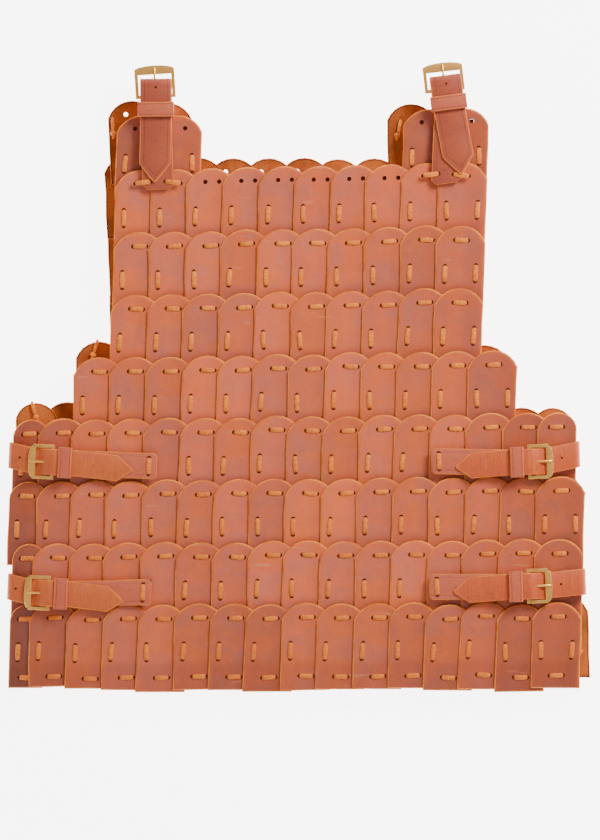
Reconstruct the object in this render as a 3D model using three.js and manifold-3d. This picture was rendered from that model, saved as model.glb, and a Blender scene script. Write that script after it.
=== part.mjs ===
// Lamellar armour of laced leather scales, laid flat on its back: a front panel over a back panel,
// each nine rows deep, closed by two shoulder straps and four side straps with brass buckles.
// Millimetres, +Z up off the surface, +Y towards the neck, +X towards the right of the front as it is seen.
import * as THREE from "three";
import { mergeVertices } from "three/addons/utils/BufferGeometryUtils.js";
import Module from "manifold-3d";

const wasm = await Module();
wasm.setup();

// Sizes of one scale, and how the scales lie on each other.
const LEATHER = 2.5; // thickness of a scale
const SEAM = 0.3; // clearance between separate pieces
const FUSE = 0.1; // how far scales of one row sink into each other
const SCALE_WIDTH = 47.5;
const SCALE_HEIGHT = 80.6;
const ARCH_RISE = 16.5; // from the shoulders of the scale to its crown
const SCALE_STEP = LEATHER - FUSE; // height of a scale's left edge over its neighbour
const ROW_STEP = 2 * LEATHER - FUSE + SEAM; // height of a row over the one above, two scales deep
const STAGGER = 0.4; // every second scale sits this much higher in its row
const SHOULDER_SINK = 0.75; // shoulder scales lie this much deeper, under a longer overlap
const SIDE_DROP = 5.4; // how far the outermost left scales fall at their free edge

// Lace stitches that stand on the scales.
const LACE_WIDTH = 5;
const LACE_RISE = 1.6;
const LACE_ROOT = 0.3; // how far a stitch reaches into the leather
const SIDE_STITCH = { length: 17, inset: 9, belowCrown: 46 };
const CROWN_STITCH = { length: 15.5, belowCrown: 14 };
const HEM_STITCH = { length: 15.5, aboveHem: 8.5 };

// Straps and buckles.
const STRAP = 2; // thickness of the strap leather
const BAR_RADIUS = 1.3;
const LOOP_RADIUS = BAR_RADIUS + SEAM + STRAP;
const FOLD_RADIUS = 5; // of a billet's middle line where it turns round the edge of the panels
const FRAME_THICKNESS = 2 * BAR_RADIUS;
const STRAP_GAP = SEAM + STRAP; // the height that the straps underneath lift the back panel

// Heights of the two panels' reference planes. A panel reaches PANEL_OUT outside its plane, and PANEL_IN
// inside it.
const PANEL_OUT = 11;
const PANEL_IN = 1.7;
const BACK_PLANE = STRAP_GAP + PANEL_OUT;
const FRONT_PLANE = BACK_PLANE + 2 * PANEL_IN + SEAM;
const FRONT_TOP = FRONT_PLANE + PANEL_OUT;

// A panel's columns run nearly up and down: column 8 passes through middle, and leans by lean for each
// millimetre up. crown is the height of row 1's crowns at x = 0, and shoulderRise the height of the shoulder
// rows over it.
const FRONT = {
  name: "front",
  outside: 1,
  plane: FRONT_PLANE,
  pitch: 34.4,
  lean: 0.0296,
  middle: { x: -12.3, y: -59.2 },
  crown: 204.5,
  rowPitch: 60,
  shoulderRise: 52.3,
  archSteps: 3,
};
const BACK = {
  name: "back",
  outside: -1,
  plane: BACK_PLANE,
  pitch: 33.6,
  lean: -0.033,
  middle: { x: -10.6, y: -59.2 },
  crown: 212.9,
  rowPitch: 59.5,
  shoulderRise: 52.8,
  archSteps: 2,
};

// The rows from the shoulders down. first and count name the columns, tilt is the slope of the front row, edge
// is the width that shows of a front row's outermost left scale where it droops, last the width of its right
// one where that is narrowed, backLast the same on the back panel, and backShift how far right the back
// panel's row lies.
const ROWS = [
  { name: "shoulder_left", level: 0, first: 3, count: 2, tilt: 0.026, backShift: 4.5 },
  { name: "shoulder_right", level: 0, first: 11, count: 2, tilt: 0.026, backShift: 4.5 },
  { name: "row_1", level: 1, first: 3, count: 10, tilt: 0.024 },
  { name: "row_2", level: 2, first: 3, count: 10, tilt: 0.021 },
  { name: "row_3", level: 3, first: 3, count: 10, tilt: 0.02 },
  { name: "row_4", level: 4, first: 2, count: 12, tilt: 0.018 },
  { name: "row_5", level: 5, first: 0, count: 16, tilt: 0.0128, edge: 22.5, last: 38, backLast: 40 },
  { name: "row_6", level: 6, first: 0, count: 16, tilt: 0.0095, edge: 25, backLast: 44 },
  { name: "row_7", level: 7, first: 0, count: 16, tilt: 0.0086, edge: 20, backLast: 42 },
  { name: "row_8", level: 8, first: 0, count: 16, tilt: 0.003, edge: 20.5 },
];
const BACK_TILT = -0.01; // the back rows all slope a little the other way
const BACK_EDGE = 27; // the width of a long back row's outermost left scale that lies free
const LAST_LEVEL = 8;
const LONG_LEVEL = 5; // rows from here down reach round the sides

// The strap sets. bar is the place of the buckle's heel bar, and turn the direction from the bar along the
// strap's free end, in degrees. The other lengths run that way from the bar: fold is where the strap turns
// under (to the far side), far the buckle's far end, tip the billet's point, end the end of the buckle strap,
// which is laced down at lacedIn short of it, reach the end of the billet underneath and lift how far that end
// rises to the back panel. Past the keeper the billet swings by billetBend and the buckle strap by strapBend,
// and before the buckle the billet swings by foldBend, all in degrees.
const SEAT = FRONT_TOP + 1.7; // the underside of the straps, which lie on the crowns of the scales
const SIDE = { width: 25, reach: 22, lift: 0, far: -25.5, lacedIn: 8, loose: false };
const SHOULDER = { width: 30, reach: 62, lift: 0, foldBend: 0, loose: true };
const KEEPER_SIDE = 20; // past this the straps may swing
const BUCKLE_SIDE = -16; // and before this
const STRAPS = [
  {
    ...SIDE, name: "side_upper_left", bar: [-236.6, -79.5], turn: -3,
    fold: -42.9, tip: 77, end: 100, billetBend: -3.5, strapBend: 0.9, foldBend: 10,
  },
  {
    ...SIDE, name: "side_lower_left", bar: [-240.5, -205.2], turn: -2.5,
    fold: -40.2, tip: 71.5, end: 98, billetBend: -4.8, strapBend: 3.9, foldBend: 11,
  },
  {
    ...SIDE, name: "side_upper_right", bar: [220, -79.2], turn: 182,
    fold: -49.5, tip: 70, end: 94, billetBend: 2.6, strapBend: -3.1, foldBend: -10,
  },
  {
    ...SIDE, name: "side_lower_right", bar: [219, -198.5], turn: 182,
    fold: -56.1, tip: 71, end: 95, billetBend: 2.8, strapBend: -2.1, foldBend: -3.4,
  },
  {
    ...SHOULDER, name: "shoulder_left", bar: [-137.8, 271], turn: -89.5,
    fold: -17.4, far: -29, tip: 82.2, end: 89, lacedIn: 7.4, billetBend: -1.8, strapBend: 1.2,
  },
  {
    ...SHOULDER, name: "shoulder_right", bar: [141.5, 277.5], turn: -82.5,
    fold: -14.4, reach: 67.5, lift: 0.4, far: -25.5, tip: 82, end: 89, lacedIn: 3.6, billetBend: 3,
    strapBend: -10,
  },
];

const COLOURS = { leather: 0xb5694a, lace: 0xc98045, brass: 0xc9a35c };
const leather = new THREE.MeshStandardMaterial({ color: COLOURS.leather, roughness: 0.55, metalness: 0 });
const brass = new THREE.MeshStandardMaterial({ color: COLOURS.brass, roughness: 0.3, metalness: 1 });

/** Turns a closed geometry into a solid that can be joined and cut. */
function solidOf(geometry) {
  const bare = geometry.clone();
  bare.deleteAttribute("normal");
  bare.deleteAttribute("uv");
  const merged = mergeVertices(bare, 1e-4);
  return new wasm.Manifold(
    new wasm.Mesh({
      numProp: 3,
      vertProperties: merged.attributes.position.array,
      triVerts: new Uint32Array(merged.index.array),
    }),
  );
}

/** Turns a solid back into a geometry. */
function geometryOf(solid) {
  const mesh = solid.getMesh();
  return new THREE.BufferGeometry()
    .setAttribute("position", new THREE.BufferAttribute(new Float32Array(mesh.vertProperties), 3))
    .setIndex(new THREE.BufferAttribute(new Uint32Array(mesh.triVerts), 1));
}

/** Moves every point of a geometry by a function of its x, y and z. */
function mapPoints(geometry, move) {
  const points = geometry.attributes.position;
  for (let i = 0; i < points.count; i += 1) {
    points.setXYZ(i, ...move(points.getX(i), points.getY(i), points.getZ(i)));
  }
  return geometry;
}

/** A named mesh, with flat normals. */
function part(name, solid, material) {
  const geometry = geometryOf(solid);
  geometry.computeVertexNormals();
  const mesh = new THREE.Mesh(geometry, material);
  mesh.name = name;
  return mesh;
}

/** The flat outline of a scale: straight sides and foot, and a crown that is an arc of a circle. */
function scaleOutline(width) {
  const half = width / 2;
  const radius = (half * half + ARCH_RISE * ARCH_RISE) / (2 * ARCH_RISE);
  const centre = SCALE_HEIGHT - radius;
  const reach = Math.asin(half / radius);
  const outline = new THREE.Shape();
  outline.moveTo(0, 0);
  outline.lineTo(width, 0);
  outline.absarc(half, centre, radius, Math.PI / 2 - reach, Math.PI / 2 + reach, false);
  return outline;
}

/** A low roofed bar for a lace stitch, along x, or along y if upright, with its root below z = 0. */
function stitch(length, upright) {
  const ridge = LACE_WIDTH / 2;
  const section = new THREE.Shape();
  section.moveTo(-ridge, -LACE_ROOT);
  section.lineTo(ridge, -LACE_ROOT);
  section.lineTo(0, LACE_RISE);
  const bar = new THREE.ExtrudeGeometry(section, { depth: length, bevelEnabled: false });
  bar.translate(0, 0, -length / 2).rotateX(Math.PI / 2);
  if (!upright) bar.rotateZ(Math.PI / 2);
  return bar;
}

/** The place of a row in its panel: its foot at x = 0, its slope, and how deep it lies. */
function rowPlace(panel, row) {
  const rise = row.level === 0 ? panel.shoulderRise : (1 - row.level) * panel.rowPitch;
  return {
    foot: panel.crown + rise - SCALE_HEIGHT,
    tilt: panel.outside > 0 ? row.tilt : BACK_TILT,
    sink: row.level === 0 ? SHOULDER_SINK : 0,
  };
}

/**
 * The map from a scale's own flat coordinates to its place in the panel. fall is how far its inner face rises.
 */
function scaleMap(panel, place, column, shift, fall) {
  const stagger = STAGGER * (column % 2);
  return (u, v, w) => {
    const across = panel.middle.x + (column - 8) * panel.pitch + shift + u;
    const y = place.foot + v + stagger + place.tilt * across;
    const x = across + panel.lean * (y - panel.middle.y);
    const out = (ROW_STEP * v) / panel.rowPitch - place.sink + fall(u);
    const inner = panel.outside > 0 ? panel.plane + out : panel.plane - out - LEATHER;
    return [x, y, inner + w];
  };
}

/** One row of a panel, its scales joined along their overlaps. Front rows carry their lace stitches. */
function rowSolid(panel, row) {
  const place = rowPlace(panel, row);
  const onFront = panel.outside > 0;
  const last = row.first + row.count - 1;
  const slope = SCALE_STEP / panel.pitch;
  const pieces = [];
  const plate = (width) =>
    new THREE.ExtrudeGeometry(scaleOutline(width), {
      depth: LEATHER,
      bevelEnabled: false,
      curveSegments: panel.archSteps,
    });
  for (let column = row.first; column <= last; column += 1) {
    const outermost = row.level >= LONG_LEVEL && column === 0;
    const shown = onFront ? row.edge : BACK_EDGE;
    const missing = outermost ? panel.pitch - shown : 0;
    const narrowed = column === last && (onFront ? row.last : row.backLast);
    const width = narrowed || SCALE_WIDTH - missing;
    const shingle = (u) => SCALE_STEP - slope * (u + missing);
    const start = missing + (onFront ? 0 : (row.backShift ?? 0));
    const set = scaleMap(panel, place, column, start, shingle);
    if (outermost && onFront) {
      // This scale is creased where its neighbour covers it, and its free part hangs.
      const flat = solidOf(plate(width));
      const hang = (u) => (-SIDE_DROP * (shown - u)) / shown;
      const hung = scaleMap(panel, place, column, missing, hang);
      const block = (side) =>
        solidOf(new THREE.BoxGeometry(shown, 200, 20).translate(side - shown / 2, 0, 0));
      const halves = [
        { solid: flat.subtract(block(shown)), map: set },
        { solid: flat.intersect(block(shown + SEAM).add(block(shown))), map: hung },
      ];
      for (const { solid, map } of halves) pieces.push(solidOf(mapPoints(geometryOf(solid), map)));
      pieces.push(...stitches(row, width, column === last, hung));
    } else {
      pieces.push(solidOf(mapPoints(plate(width), set)));
      if (onFront) pieces.push(...stitches(row, width, column === last, set));
    }
  }
  return wasm.Manifold.union(pieces);
}

/** The lace stitches on the outside of one front scale. */
function stitches(row, width, isLast, map) {
  const made = [];
  const add = (length, upright, u, v) => {
    const bar = stitch(length, upright).translate(u, v, LEATHER);
    made.push(solidOf(mapPoints(bar, map)));
  };
  const side = SCALE_HEIGHT - SIDE_STITCH.belowCrown;
  const middle = width / 2 + 1;
  add(SIDE_STITCH.length, true, SIDE_STITCH.inset, side);
  if (isLast) add(SIDE_STITCH.length, true, width - SIDE_STITCH.inset, side);
  if (row.level > 1) add(CROWN_STITCH.length, false, middle, SCALE_HEIGHT - CROWN_STITCH.belowCrown);
  if (row.level === LAST_LEVEL) add(HEM_STITCH.length, false, middle, HEM_STITCH.aboveHem);
  return made;
}

/** A strap that follows points given as [along, up], extruded to its width across. */
function ribbon(points, width) {
  const line = points.map(([x, z]) => new THREE.Vector2(x, z));
  const offsets = line.map((p, i) => {
    const before = p.clone().sub(line[Math.max(i - 1, 0)]).normalize();
    const after = line[Math.min(i + 1, line.length - 1)].clone().sub(p).normalize();
    const along = before.clone().add(after).normalize();
    const side = new THREE.Vector2(-along.y, along.x);
    const ahead = after.lengthSq() > 0 ? after : before;
    const square = Math.abs(side.dot(new THREE.Vector2(-ahead.y, ahead.x)));
    return side.multiplyScalar(STRAP / 2 / square);
  });
  const left = line.map((p, i) => p.clone().add(offsets[i]));
  const right = line.map((p, i) => p.clone().sub(offsets[i])).reverse();
  return acrossStrap(new THREE.Shape([...left, ...right]), width);
}

/** Extrudes a side profile drawn as (along, up) across the strap's width. */
function acrossStrap(profile, width) {
  const body = new THREE.ExtrudeGeometry(profile, { depth: width, bevelEnabled: false, curveSegments: 4 });
  return body.translate(0, 0, -width / 2).rotateX(Math.PI / 2);
}

/** A plan outline made a tall block, to trim a strap's ends with. */
function trimBlock(corners) {
  const plan = new THREE.Shape(corners.map(([x, y]) => new THREE.Vector2(x, y)));
  const tall = 200;
  return solidOf(
    new THREE.ExtrudeGeometry(plan, { depth: tall, bevelEnabled: false }).translate(0, 0, -tall / 2),
  );
}

/** The middle line of a billet: underneath, round the fold, up through the buckle and down to its point. */
function billetLine(strap) {
  const low = STRAP / 2;
  const overBar = SEAT + 2 * LOOP_RADIUS + SEAM + low;
  const top = strap.loose ? overBar : SEAT + low;
  const edge = strap.fold + low;
  const corner = (middle, from) =>
    Array.from({ length: 4 }, (_, i) => {
      const angle = from - (Math.PI / 6) * i;
      return [edge + FOLD_RADIUS * (1 + Math.cos(angle)), middle + FOLD_RADIUS * Math.sin(angle)];
    });
  const turn = [...corner(low + FOLD_RADIUS, -Math.PI / 2), ...corner(top - FOLD_RADIUS, -Math.PI)];
  const throughBuckle = [[-16.5, SEAT + low], [-3.5, overBar], [2.5, overBar]];
  const onStrap = [
    [14, SEAT + 2 * STRAP + 2 * SEAM + low],
    [27, SEAT + 2 * STRAP + 2 * SEAM + low],
    [38, SEAT + STRAP + SEAM + low],
    [strap.tip, SEAT + STRAP + SEAM + low],
  ];
  const underneath = [[strap.reach, low + strap.lift], [0, low]];
  return [...underneath, ...turn, ...(strap.loose ? [[2.5, overBar]] : throughBuckle), ...onStrap];
}

/**
 * Swings the part of a strap that lies past its keeper by bend, and the part before the buckle by foldBend.
 */
function swing(solid, strap, bend) {
  const after = Math.tan(THREE.MathUtils.degToRad(bend));
  const before = Math.tan(THREE.MathUtils.degToRad(strap.foldBend));
  const across = (x) => after * Math.max(0, x - KEEPER_SIDE) + before * Math.max(0, BUCKLE_SIDE - x);
  const long = 400;
  const lengths = [
    [BUCKLE_SIDE - long, BUCKLE_SIDE],
    [BUCKLE_SIDE, KEEPER_SIDE],
    [KEEPER_SIDE, KEEPER_SIDE + long],
  ];
  const pieces = lengths.map(([from, to]) => {
    const block = solidOf(new THREE.BoxGeometry(to - from, long, long).translate((from + to) / 2, 0, 0));
    return geometryOf(solid.intersect(block));
  });
  const filled = pieces.filter((piece) => piece.index.count > 0);
  const swung = filled.map((piece) => mapPoints(piece, (x, y, z) => [x, y + across(x), z]));
  return wasm.Manifold.union(swung.map(solidOf));
}

/** The pointed strap, with the slot that the prong comes through. */
function billet(strap) {
  const half = strap.width / 2;
  const point = 0.6 * strap.width;
  const outline = trimBlock([
    [strap.fold - 1, -half],
    [strap.tip - point, -half],
    [strap.tip, -1.5],
    [strap.tip, 1.5],
    [strap.tip - point, half],
    [strap.fold - 1, half],
  ]);
  const slot = solidOf(new THREE.BoxGeometry(14, 3.4, 12).translate(-11, 0, SEAT + LOOP_RADIUS + 1.6));
  const cut = solidOf(ribbon(billetLine(strap), strap.width)).intersect(outline).subtract(slot);
  return swing(cut, strap, strap.billetBend);
}

/** The strap that carries the buckle: folded round the bar, tapering to one layer, laced at its far end. */
function chape(strap) {
  const half = strap.width / 2;
  const bar = SEAT + LOOP_RADIUS;
  const profile = new THREE.Shape();
  profile.moveTo(strap.end, SEAT);
  profile.lineTo(strap.end, SEAT + STRAP);
  profile.lineTo(27, SEAT + STRAP);
  profile.lineTo(25, SEAT + 2 * STRAP + SEAM);
  profile.lineTo(14, SEAT + 2 * STRAP + SEAM);
  profile.absarc(0, bar, LOOP_RADIUS, Math.PI / 2, (3 * Math.PI) / 2, false);
  profile.holes.push(new THREE.Path().absarc(0, bar, BAR_RADIUS + SEAM, 0, 2 * Math.PI, true));
  const cut = strap.loose ? 5 : 4;
  const outline = trimBlock([
    [-LOOP_RADIUS - 1, -half],
    [strap.end - cut, -half],
    [strap.end, cut - half],
    [strap.end, half - cut],
    [strap.end - cut, half],
    [-LOOP_RADIUS - 1, half],
  ]);
  const notch = solidOf(new THREE.BoxGeometry(12, 6, 9).translate(-1.5, 0, bar + 1));
  const pieces = [solidOf(acrossStrap(profile, strap.width)).intersect(outline).subtract(notch)];
  if (strap.loose) {
    for (const side of [-1, 1]) {
      const lace = stitch(13, true).translate(strap.end - strap.lacedIn, side * (half - 0.6), SEAT + STRAP);
      pieces.push(solidOf(lace));
    }
  } else {
    const lace = stitch(SIDE_STITCH.length, true).translate(strap.end - strap.lacedIn, 0, SEAT + STRAP);
    pieces.push(solidOf(lace));
  }
  return swing(wasm.Manifold.union(pieces), strap, strap.strapBend);
}

/** The buckle's frame: a bowed far end, two arms and a round heel bar, in one casting. */
function frame(strap) {
  const bar = SEAT + LOOP_RADIUS;
  const inner = strap.width / 2 + 0.9;
  const outer = inner + 2.8;
  const { far } = strap;
  const window = far + 7.5;
  const plan = new THREE.Shape();
  plan.moveTo(BAR_RADIUS, inner);
  plan.lineTo(BAR_RADIUS, outer);
  plan.lineTo(far + 7, outer + 0.8);
  plan.quadraticCurveTo(far + 3, outer + 0.4, far + 2.5, outer - 2);
  plan.quadraticCurveTo(far - 2.5, 0, far + 2.5, 2 - outer);
  plan.quadraticCurveTo(far + 3, -outer - 0.4, far + 7, -outer - 0.8);
  plan.lineTo(BAR_RADIUS, -outer);
  plan.lineTo(BAR_RADIUS, -inner);
  plan.lineTo(window, -inner);
  plan.lineTo(window, inner);
  const settings = { depth: FRAME_THICKNESS, bevelEnabled: false, curveSegments: 4 };
  const body = new THREE.ExtrudeGeometry(plan, settings);
  const cast = solidOf(body.translate(0, 0, bar - BAR_RADIUS));
  const heel = new THREE.CylinderGeometry(BAR_RADIUS, BAR_RADIUS, 2 * inner + 1, 8).translate(0, 0, bar);
  const rest = new THREE.BoxGeometry(12, 2.8, 2).translate(far + 3, 0, bar + BAR_RADIUS + 0.4);
  return cast.add(solidOf(heel)).subtract(solidOf(rest));
}

/** The prong: a flat tongue that starts over the bar and rests in the notch of the far end. */
function prong(strap) {
  const bar = SEAT + LOOP_RADIUS;
  const tip = strap.far + 1.5;
  const low = bar + BAR_RADIUS + SEAM - 0.6;
  const overBar = bar + BAR_RADIUS + SEAM;
  const profile = new THREE.Shape();
  profile.moveTo(tip, low + 0.1);
  profile.lineTo(-3.5, low + 0.1);
  profile.lineTo(-2.5, overBar);
  profile.lineTo(2, overBar);
  profile.lineTo(2, overBar + 1.6);
  profile.lineTo(-18, overBar + 1.6);
  profile.lineTo(tip, low + 1.4);
  return solidOf(acrossStrap(profile, 2.2));
}

/** The leather loop that holds both straps down. */
function keeper(strap) {
  const inner = strap.width / 2 + 0.5;
  const outer = inner + 1.8;
  const bottom = SEAT - 1.3;
  const top = SEAT + 11.2;
  const corner = 1.5;
  const ring = new THREE.Shape();
  ring.moveTo(corner - outer, bottom);
  ring.lineTo(outer - corner, bottom);
  ring.lineTo(outer, bottom + corner);
  ring.lineTo(outer, top - corner);
  ring.lineTo(outer - corner, top);
  ring.lineTo(corner - outer, top);
  ring.lineTo(-outer, top - corner);
  ring.lineTo(-outer, bottom + corner);
  const hole = new THREE.Path();
  hole.moveTo(-inner, SEAT - SEAM);
  hole.lineTo(-inner, top - 1.6);
  hole.lineTo(inner, top - 1.6);
  hole.lineTo(inner, SEAT - SEAM);
  ring.holes.push(hole);
  const length = strap.loose ? 14.4 : 13;
  const body = new THREE.ExtrudeGeometry(ring, { depth: length, bevelEnabled: false });
  return solidOf(body.rotateX(Math.PI / 2).rotateZ(Math.PI / 2).translate(5, 0, 0));
}

/** The five pieces of one strap set, placed round its heel bar. */
function strapSet(strap) {
  const pieces = [
    { kind: "billet", make: billet, material: leather },
    { kind: "buckle_strap", make: chape, material: leather },
    { kind: "buckle_frame", make: frame, material: brass },
    { kind: "buckle_prong", make: prong, material: brass },
    { kind: "keeper", make: keeper, material: leather },
  ];
  return pieces.map(({ kind, make, material }) => {
    const mesh = part(`${strap.name}_${kind}`, make(strap), material);
    mesh.position.set(strap.bar[0], strap.bar[1], 0);
    mesh.rotation.z = THREE.MathUtils.degToRad(strap.turn);
    return mesh;
  });
}

/** The whole armour, moved so that its box is centred over the origin. */
function armour() {
  const whole = new THREE.Group();
  for (const panel of [BACK, FRONT]) {
    for (const row of ROWS) whole.add(part(`${panel.name}_${row.name}`, rowSolid(panel, row), leather));
  }
  for (const strap of STRAPS) whole.add(...strapSet(strap));
  const middle = new THREE.Box3().setFromObject(whole, true).getCenter(new THREE.Vector3());
  whole.position.set(-middle.x, -middle.y, 0);
  return whole;
}

export default armour();
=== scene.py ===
"""Looks of the lamellar armour: laced leather scales in rows, buckled straps and brass buckles, laid flat."""

import logging
import math
import random
from collections.abc import Callable, Sequence
from dataclasses import dataclass, field
from enum import Enum

import bmesh
import bpy
from mathutils import Matrix, Vector


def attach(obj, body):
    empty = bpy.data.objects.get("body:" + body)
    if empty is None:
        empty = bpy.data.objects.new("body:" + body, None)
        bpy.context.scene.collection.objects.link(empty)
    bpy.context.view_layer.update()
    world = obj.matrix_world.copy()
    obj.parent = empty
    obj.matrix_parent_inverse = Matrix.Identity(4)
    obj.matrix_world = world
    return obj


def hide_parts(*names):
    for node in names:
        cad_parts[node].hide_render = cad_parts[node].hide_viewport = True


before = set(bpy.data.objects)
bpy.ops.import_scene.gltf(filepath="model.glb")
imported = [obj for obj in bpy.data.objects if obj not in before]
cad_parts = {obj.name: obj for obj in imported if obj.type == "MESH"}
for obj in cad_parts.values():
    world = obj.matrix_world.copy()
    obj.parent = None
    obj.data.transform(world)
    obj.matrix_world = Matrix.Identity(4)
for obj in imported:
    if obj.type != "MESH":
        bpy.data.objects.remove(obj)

log = logging.getLogger("armour")
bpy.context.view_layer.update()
MM = 0.001
Station = tuple[float, float, float]
Colour = tuple[float, float, float]


# Sizes


@dataclass(frozen=True)
class ScaleCut:
    """The one pattern that every scale is cut to, in millimetres."""

    width: float = 47.5
    height: float = 80.6
    arch_rise: float = 16.5
    thickness: float = 2.35
    crown: float = 0.35
    rub: float = 1.15
    rub_depth: float = 0.6

    @property
    def radius(self) -> float:
        """Radius of the arched top."""
        half = self.width / 2
        return (half * half + self.arch_rise * self.arch_rise) / (2 * self.arch_rise)

    @property
    def centre(self) -> float:
        """Height of the arch's centre over the foot."""
        return self.height - self.radius

    @property
    def area(self) -> float:
        """Flat area in square metres."""
        half_angle = math.asin(self.width / 2 / self.radius)
        cap = self.radius**2 * (half_angle - math.sin(half_angle) * math.cos(half_angle))
        return (self.width * (self.height - self.arch_rise) + cap) * MM * MM


class Side(Enum):
    """Which way a panel's grain side faces."""

    FRONT = 1
    BACK = -1


@dataclass(frozen=True)
class PanelPlan:
    """How a panel's columns and rows are spaced, in millimetres."""

    name: str
    side: Side
    plane: float
    pitch: float
    lean: float
    middle: tuple[float, float]
    crown: float
    row_pitch: float
    shoulder_rise: float
    row_step: float = 5.2
    shoulder_sink: float = 0.75
    seed: int = 1


@dataclass(frozen=True)
class RowPlan:
    """One row of scales: its level from the shoulders down, its columns and its slope."""

    name: str
    level: int
    first: int
    count: int
    tilt: float
    edge: float = 34.4
    last: float | None = None
    back_last: float | None = None
    back_shift: float = 0.0
    second: float = 0.0


SCALE = ScaleCut()
STEP = 2.4
CENTRE_SHIFT = (1.018, -3.166)
FRONT = PanelPlan("front", Side.FRONT, 17.0, 34.4, 0.0296, (-12.3, -59.2), 204.5, 60.0, 52.3, seed=7)
BACK = PanelPlan("back", Side.BACK, 13.3, 33.6, -0.033, (-10.6, -59.2), 212.9, 59.5, 52.8, seed=23)
BACK_TILT = -0.01
BACK_EDGE = 27.0
SIDE_DROP = 5.4
LONG_LEVEL = 5
LAST_LEVEL = 8
LONG_HEM = 2.4
ROWS = (
    RowPlan("shoulder_left", 0, 3, 2, 0.026, back_shift=4.5),
    RowPlan("shoulder_right", 0, 11, 2, 0.026, back_shift=4.5),
    RowPlan("row_1", 1, 3, 10, 0.024),
    RowPlan("row_2", 2, 3, 10, 0.021),
    RowPlan("row_3", 3, 3, 10, 0.020),
    RowPlan("row_4", 4, 2, 12, 0.018),
    RowPlan("row_5", 5, 0, 16, 0.0128, edge=22.5, last=38.0, back_last=40.0, second=2.6),
    RowPlan("row_6", 6, 0, 16, 0.0095, edge=25.0, back_last=44.0, second=2.6),
    RowPlan("row_7", 7, 0, 16, 0.0086, edge=20.0, back_last=42.0),
    RowPlan("row_8", 8, 0, 16, 0.0030, edge=20.5, second=-1.0),
)


class Wear(Enum):
    """How a strap set's leather has aged."""

    SADDLE = "orange-brown, scuffed across"
    RUSSET = "redder and smoother"
    COCOA = "duller, with creased edges"
    PLUM = "mauve, as on the keepers and buckle straps"


@dataclass(frozen=True)
class StrapPlan:
    """One strap set, its lengths measured from the buckle's heel bar along the free end, in millimetres."""

    name: str
    bar: tuple[float, float]
    turn: float
    fold: float
    tip: float
    end: float
    billet_bend: float
    strap_bend: float
    fold_bend: float = 0.0
    width: float = 25.0
    reach: float = 22.0
    far: float = -25.5
    laced_in: float = 8.0
    loose: bool = False
    frame_turn: float = 0.0
    frame_slip: float = 0.0
    lace_back: tuple[float, float] = (0.0, 0.0)
    lace_turn: float = 0.0
    wear: Wear = Wear.SADDLE


SEAT = 29.7
STRAP = 2.0
SEAM = 0.3
BAR_RADIUS = 1.3
LOOP_RADIUS = BAR_RADIUS + SEAM + STRAP
KEEPER_SIDE = 20.0
BUCKLE_SIDE = -16.0
SHOULDER = {"width": 30.0, "loose": True, "wear": Wear.COCOA}
STRAPS = (
    StrapPlan("side_upper_left", (-236.6, -79.5), -3.0, -42.9, 77.0, 100.0, -3.5, 0.9, 10.0),
    StrapPlan("side_lower_left", (-240.5, -205.2), -2.5, -40.2, 71.5, 98.0, -4.8, 3.9, 11.0),
    StrapPlan(
        "side_upper_right", (220.0, -79.2), 182.0, -49.5, 70.0, 94.0, 2.6, -3.1, -10.0, wear=Wear.RUSSET
    ),
    StrapPlan(
        "side_lower_right", (219.0, -198.5), 182.0, -56.1, 71.0, 95.0, 2.8, -2.1, -3.4, wear=Wear.RUSSET
    ),
    StrapPlan(
        "shoulder_left", (-137.8, 271.0), -89.5, -17.4, 82.2, 89.0, -1.8, 1.2,
        reach=62.0, far=-29.0, laced_in=7.4, frame_turn=3.0, **SHOULDER,
    ),
    StrapPlan(
        "shoulder_right", (141.5, 277.5), -82.5, -14.4, 82.0, 89.0, 3.0, -10.0,
        reach=67.5, laced_in=3.6, frame_turn=-1.0, frame_slip=-2.0,
        lace_back=(7.6, 3.3), lace_turn=-6.4, **SHOULDER,
    ),
)


# Finishes


class Val:
    """A node socket that takes part in Python arithmetic."""

    def __init__(self, shade: "Shade", socket: bpy.types.NodeSocket) -> None:
        """Wraps a socket of shade's tree."""
        self.shade = shade
        self.socket = socket

    def math(self, operation: str, other: "Val | float | None" = None, swap: bool = False) -> "Val":
        """Adds a Math node.

        Args:
            operation: the node's operation.
            other: the second value, if the operation has one.
            swap: whether other comes first.

        Returns:
            The node's result.
        """
        values = [self] if other is None else [self, other]
        if swap:
            values.reverse()
        return self.shade.node("ShaderNodeMath", {"operation": operation}, dict(enumerate(values)))

    def __add__(self, other: "Val | float") -> "Val":
        """self + other."""
        return self.math("ADD", other)

    def __radd__(self, other: float) -> "Val":
        """other + self."""
        return self.math("ADD", other)

    def __sub__(self, other: "Val | float") -> "Val":
        """self - other."""
        return self.math("SUBTRACT", other)

    def __rsub__(self, other: float) -> "Val":
        """other - self."""
        return self.math("SUBTRACT", other, swap=True)

    def __mul__(self, other: "Val | float") -> "Val":
        """self * other."""
        return self.math("MULTIPLY", other)

    def __rmul__(self, other: float) -> "Val":
        """other * self."""
        return self.math("MULTIPLY", other)

    def __pow__(self, other: float) -> "Val":
        """self ** other."""
        return self.math("POWER", other)

    def low(self, other: "Val | float") -> "Val":
        """The lower of the two."""
        return self.math("MINIMUM", other)

    def high(self, other: "Val | float") -> "Val":
        """The higher of the two."""
        return self.math("MAXIMUM", other)

    def size(self) -> "Val":
        """The value without its sign."""
        return self.math("ABSOLUTE")

    def ramp(self, start: float, end: float) -> "Val":
        """Goes smoothly from 0 at start to 1 at end."""
        settings = {"interpolation_type": "SMOOTHSTEP"}
        return self.shade.node("ShaderNodeMapRange", settings, {0: self, 1: start, 2: end, 3: 0.0, 4: 1.0})


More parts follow.
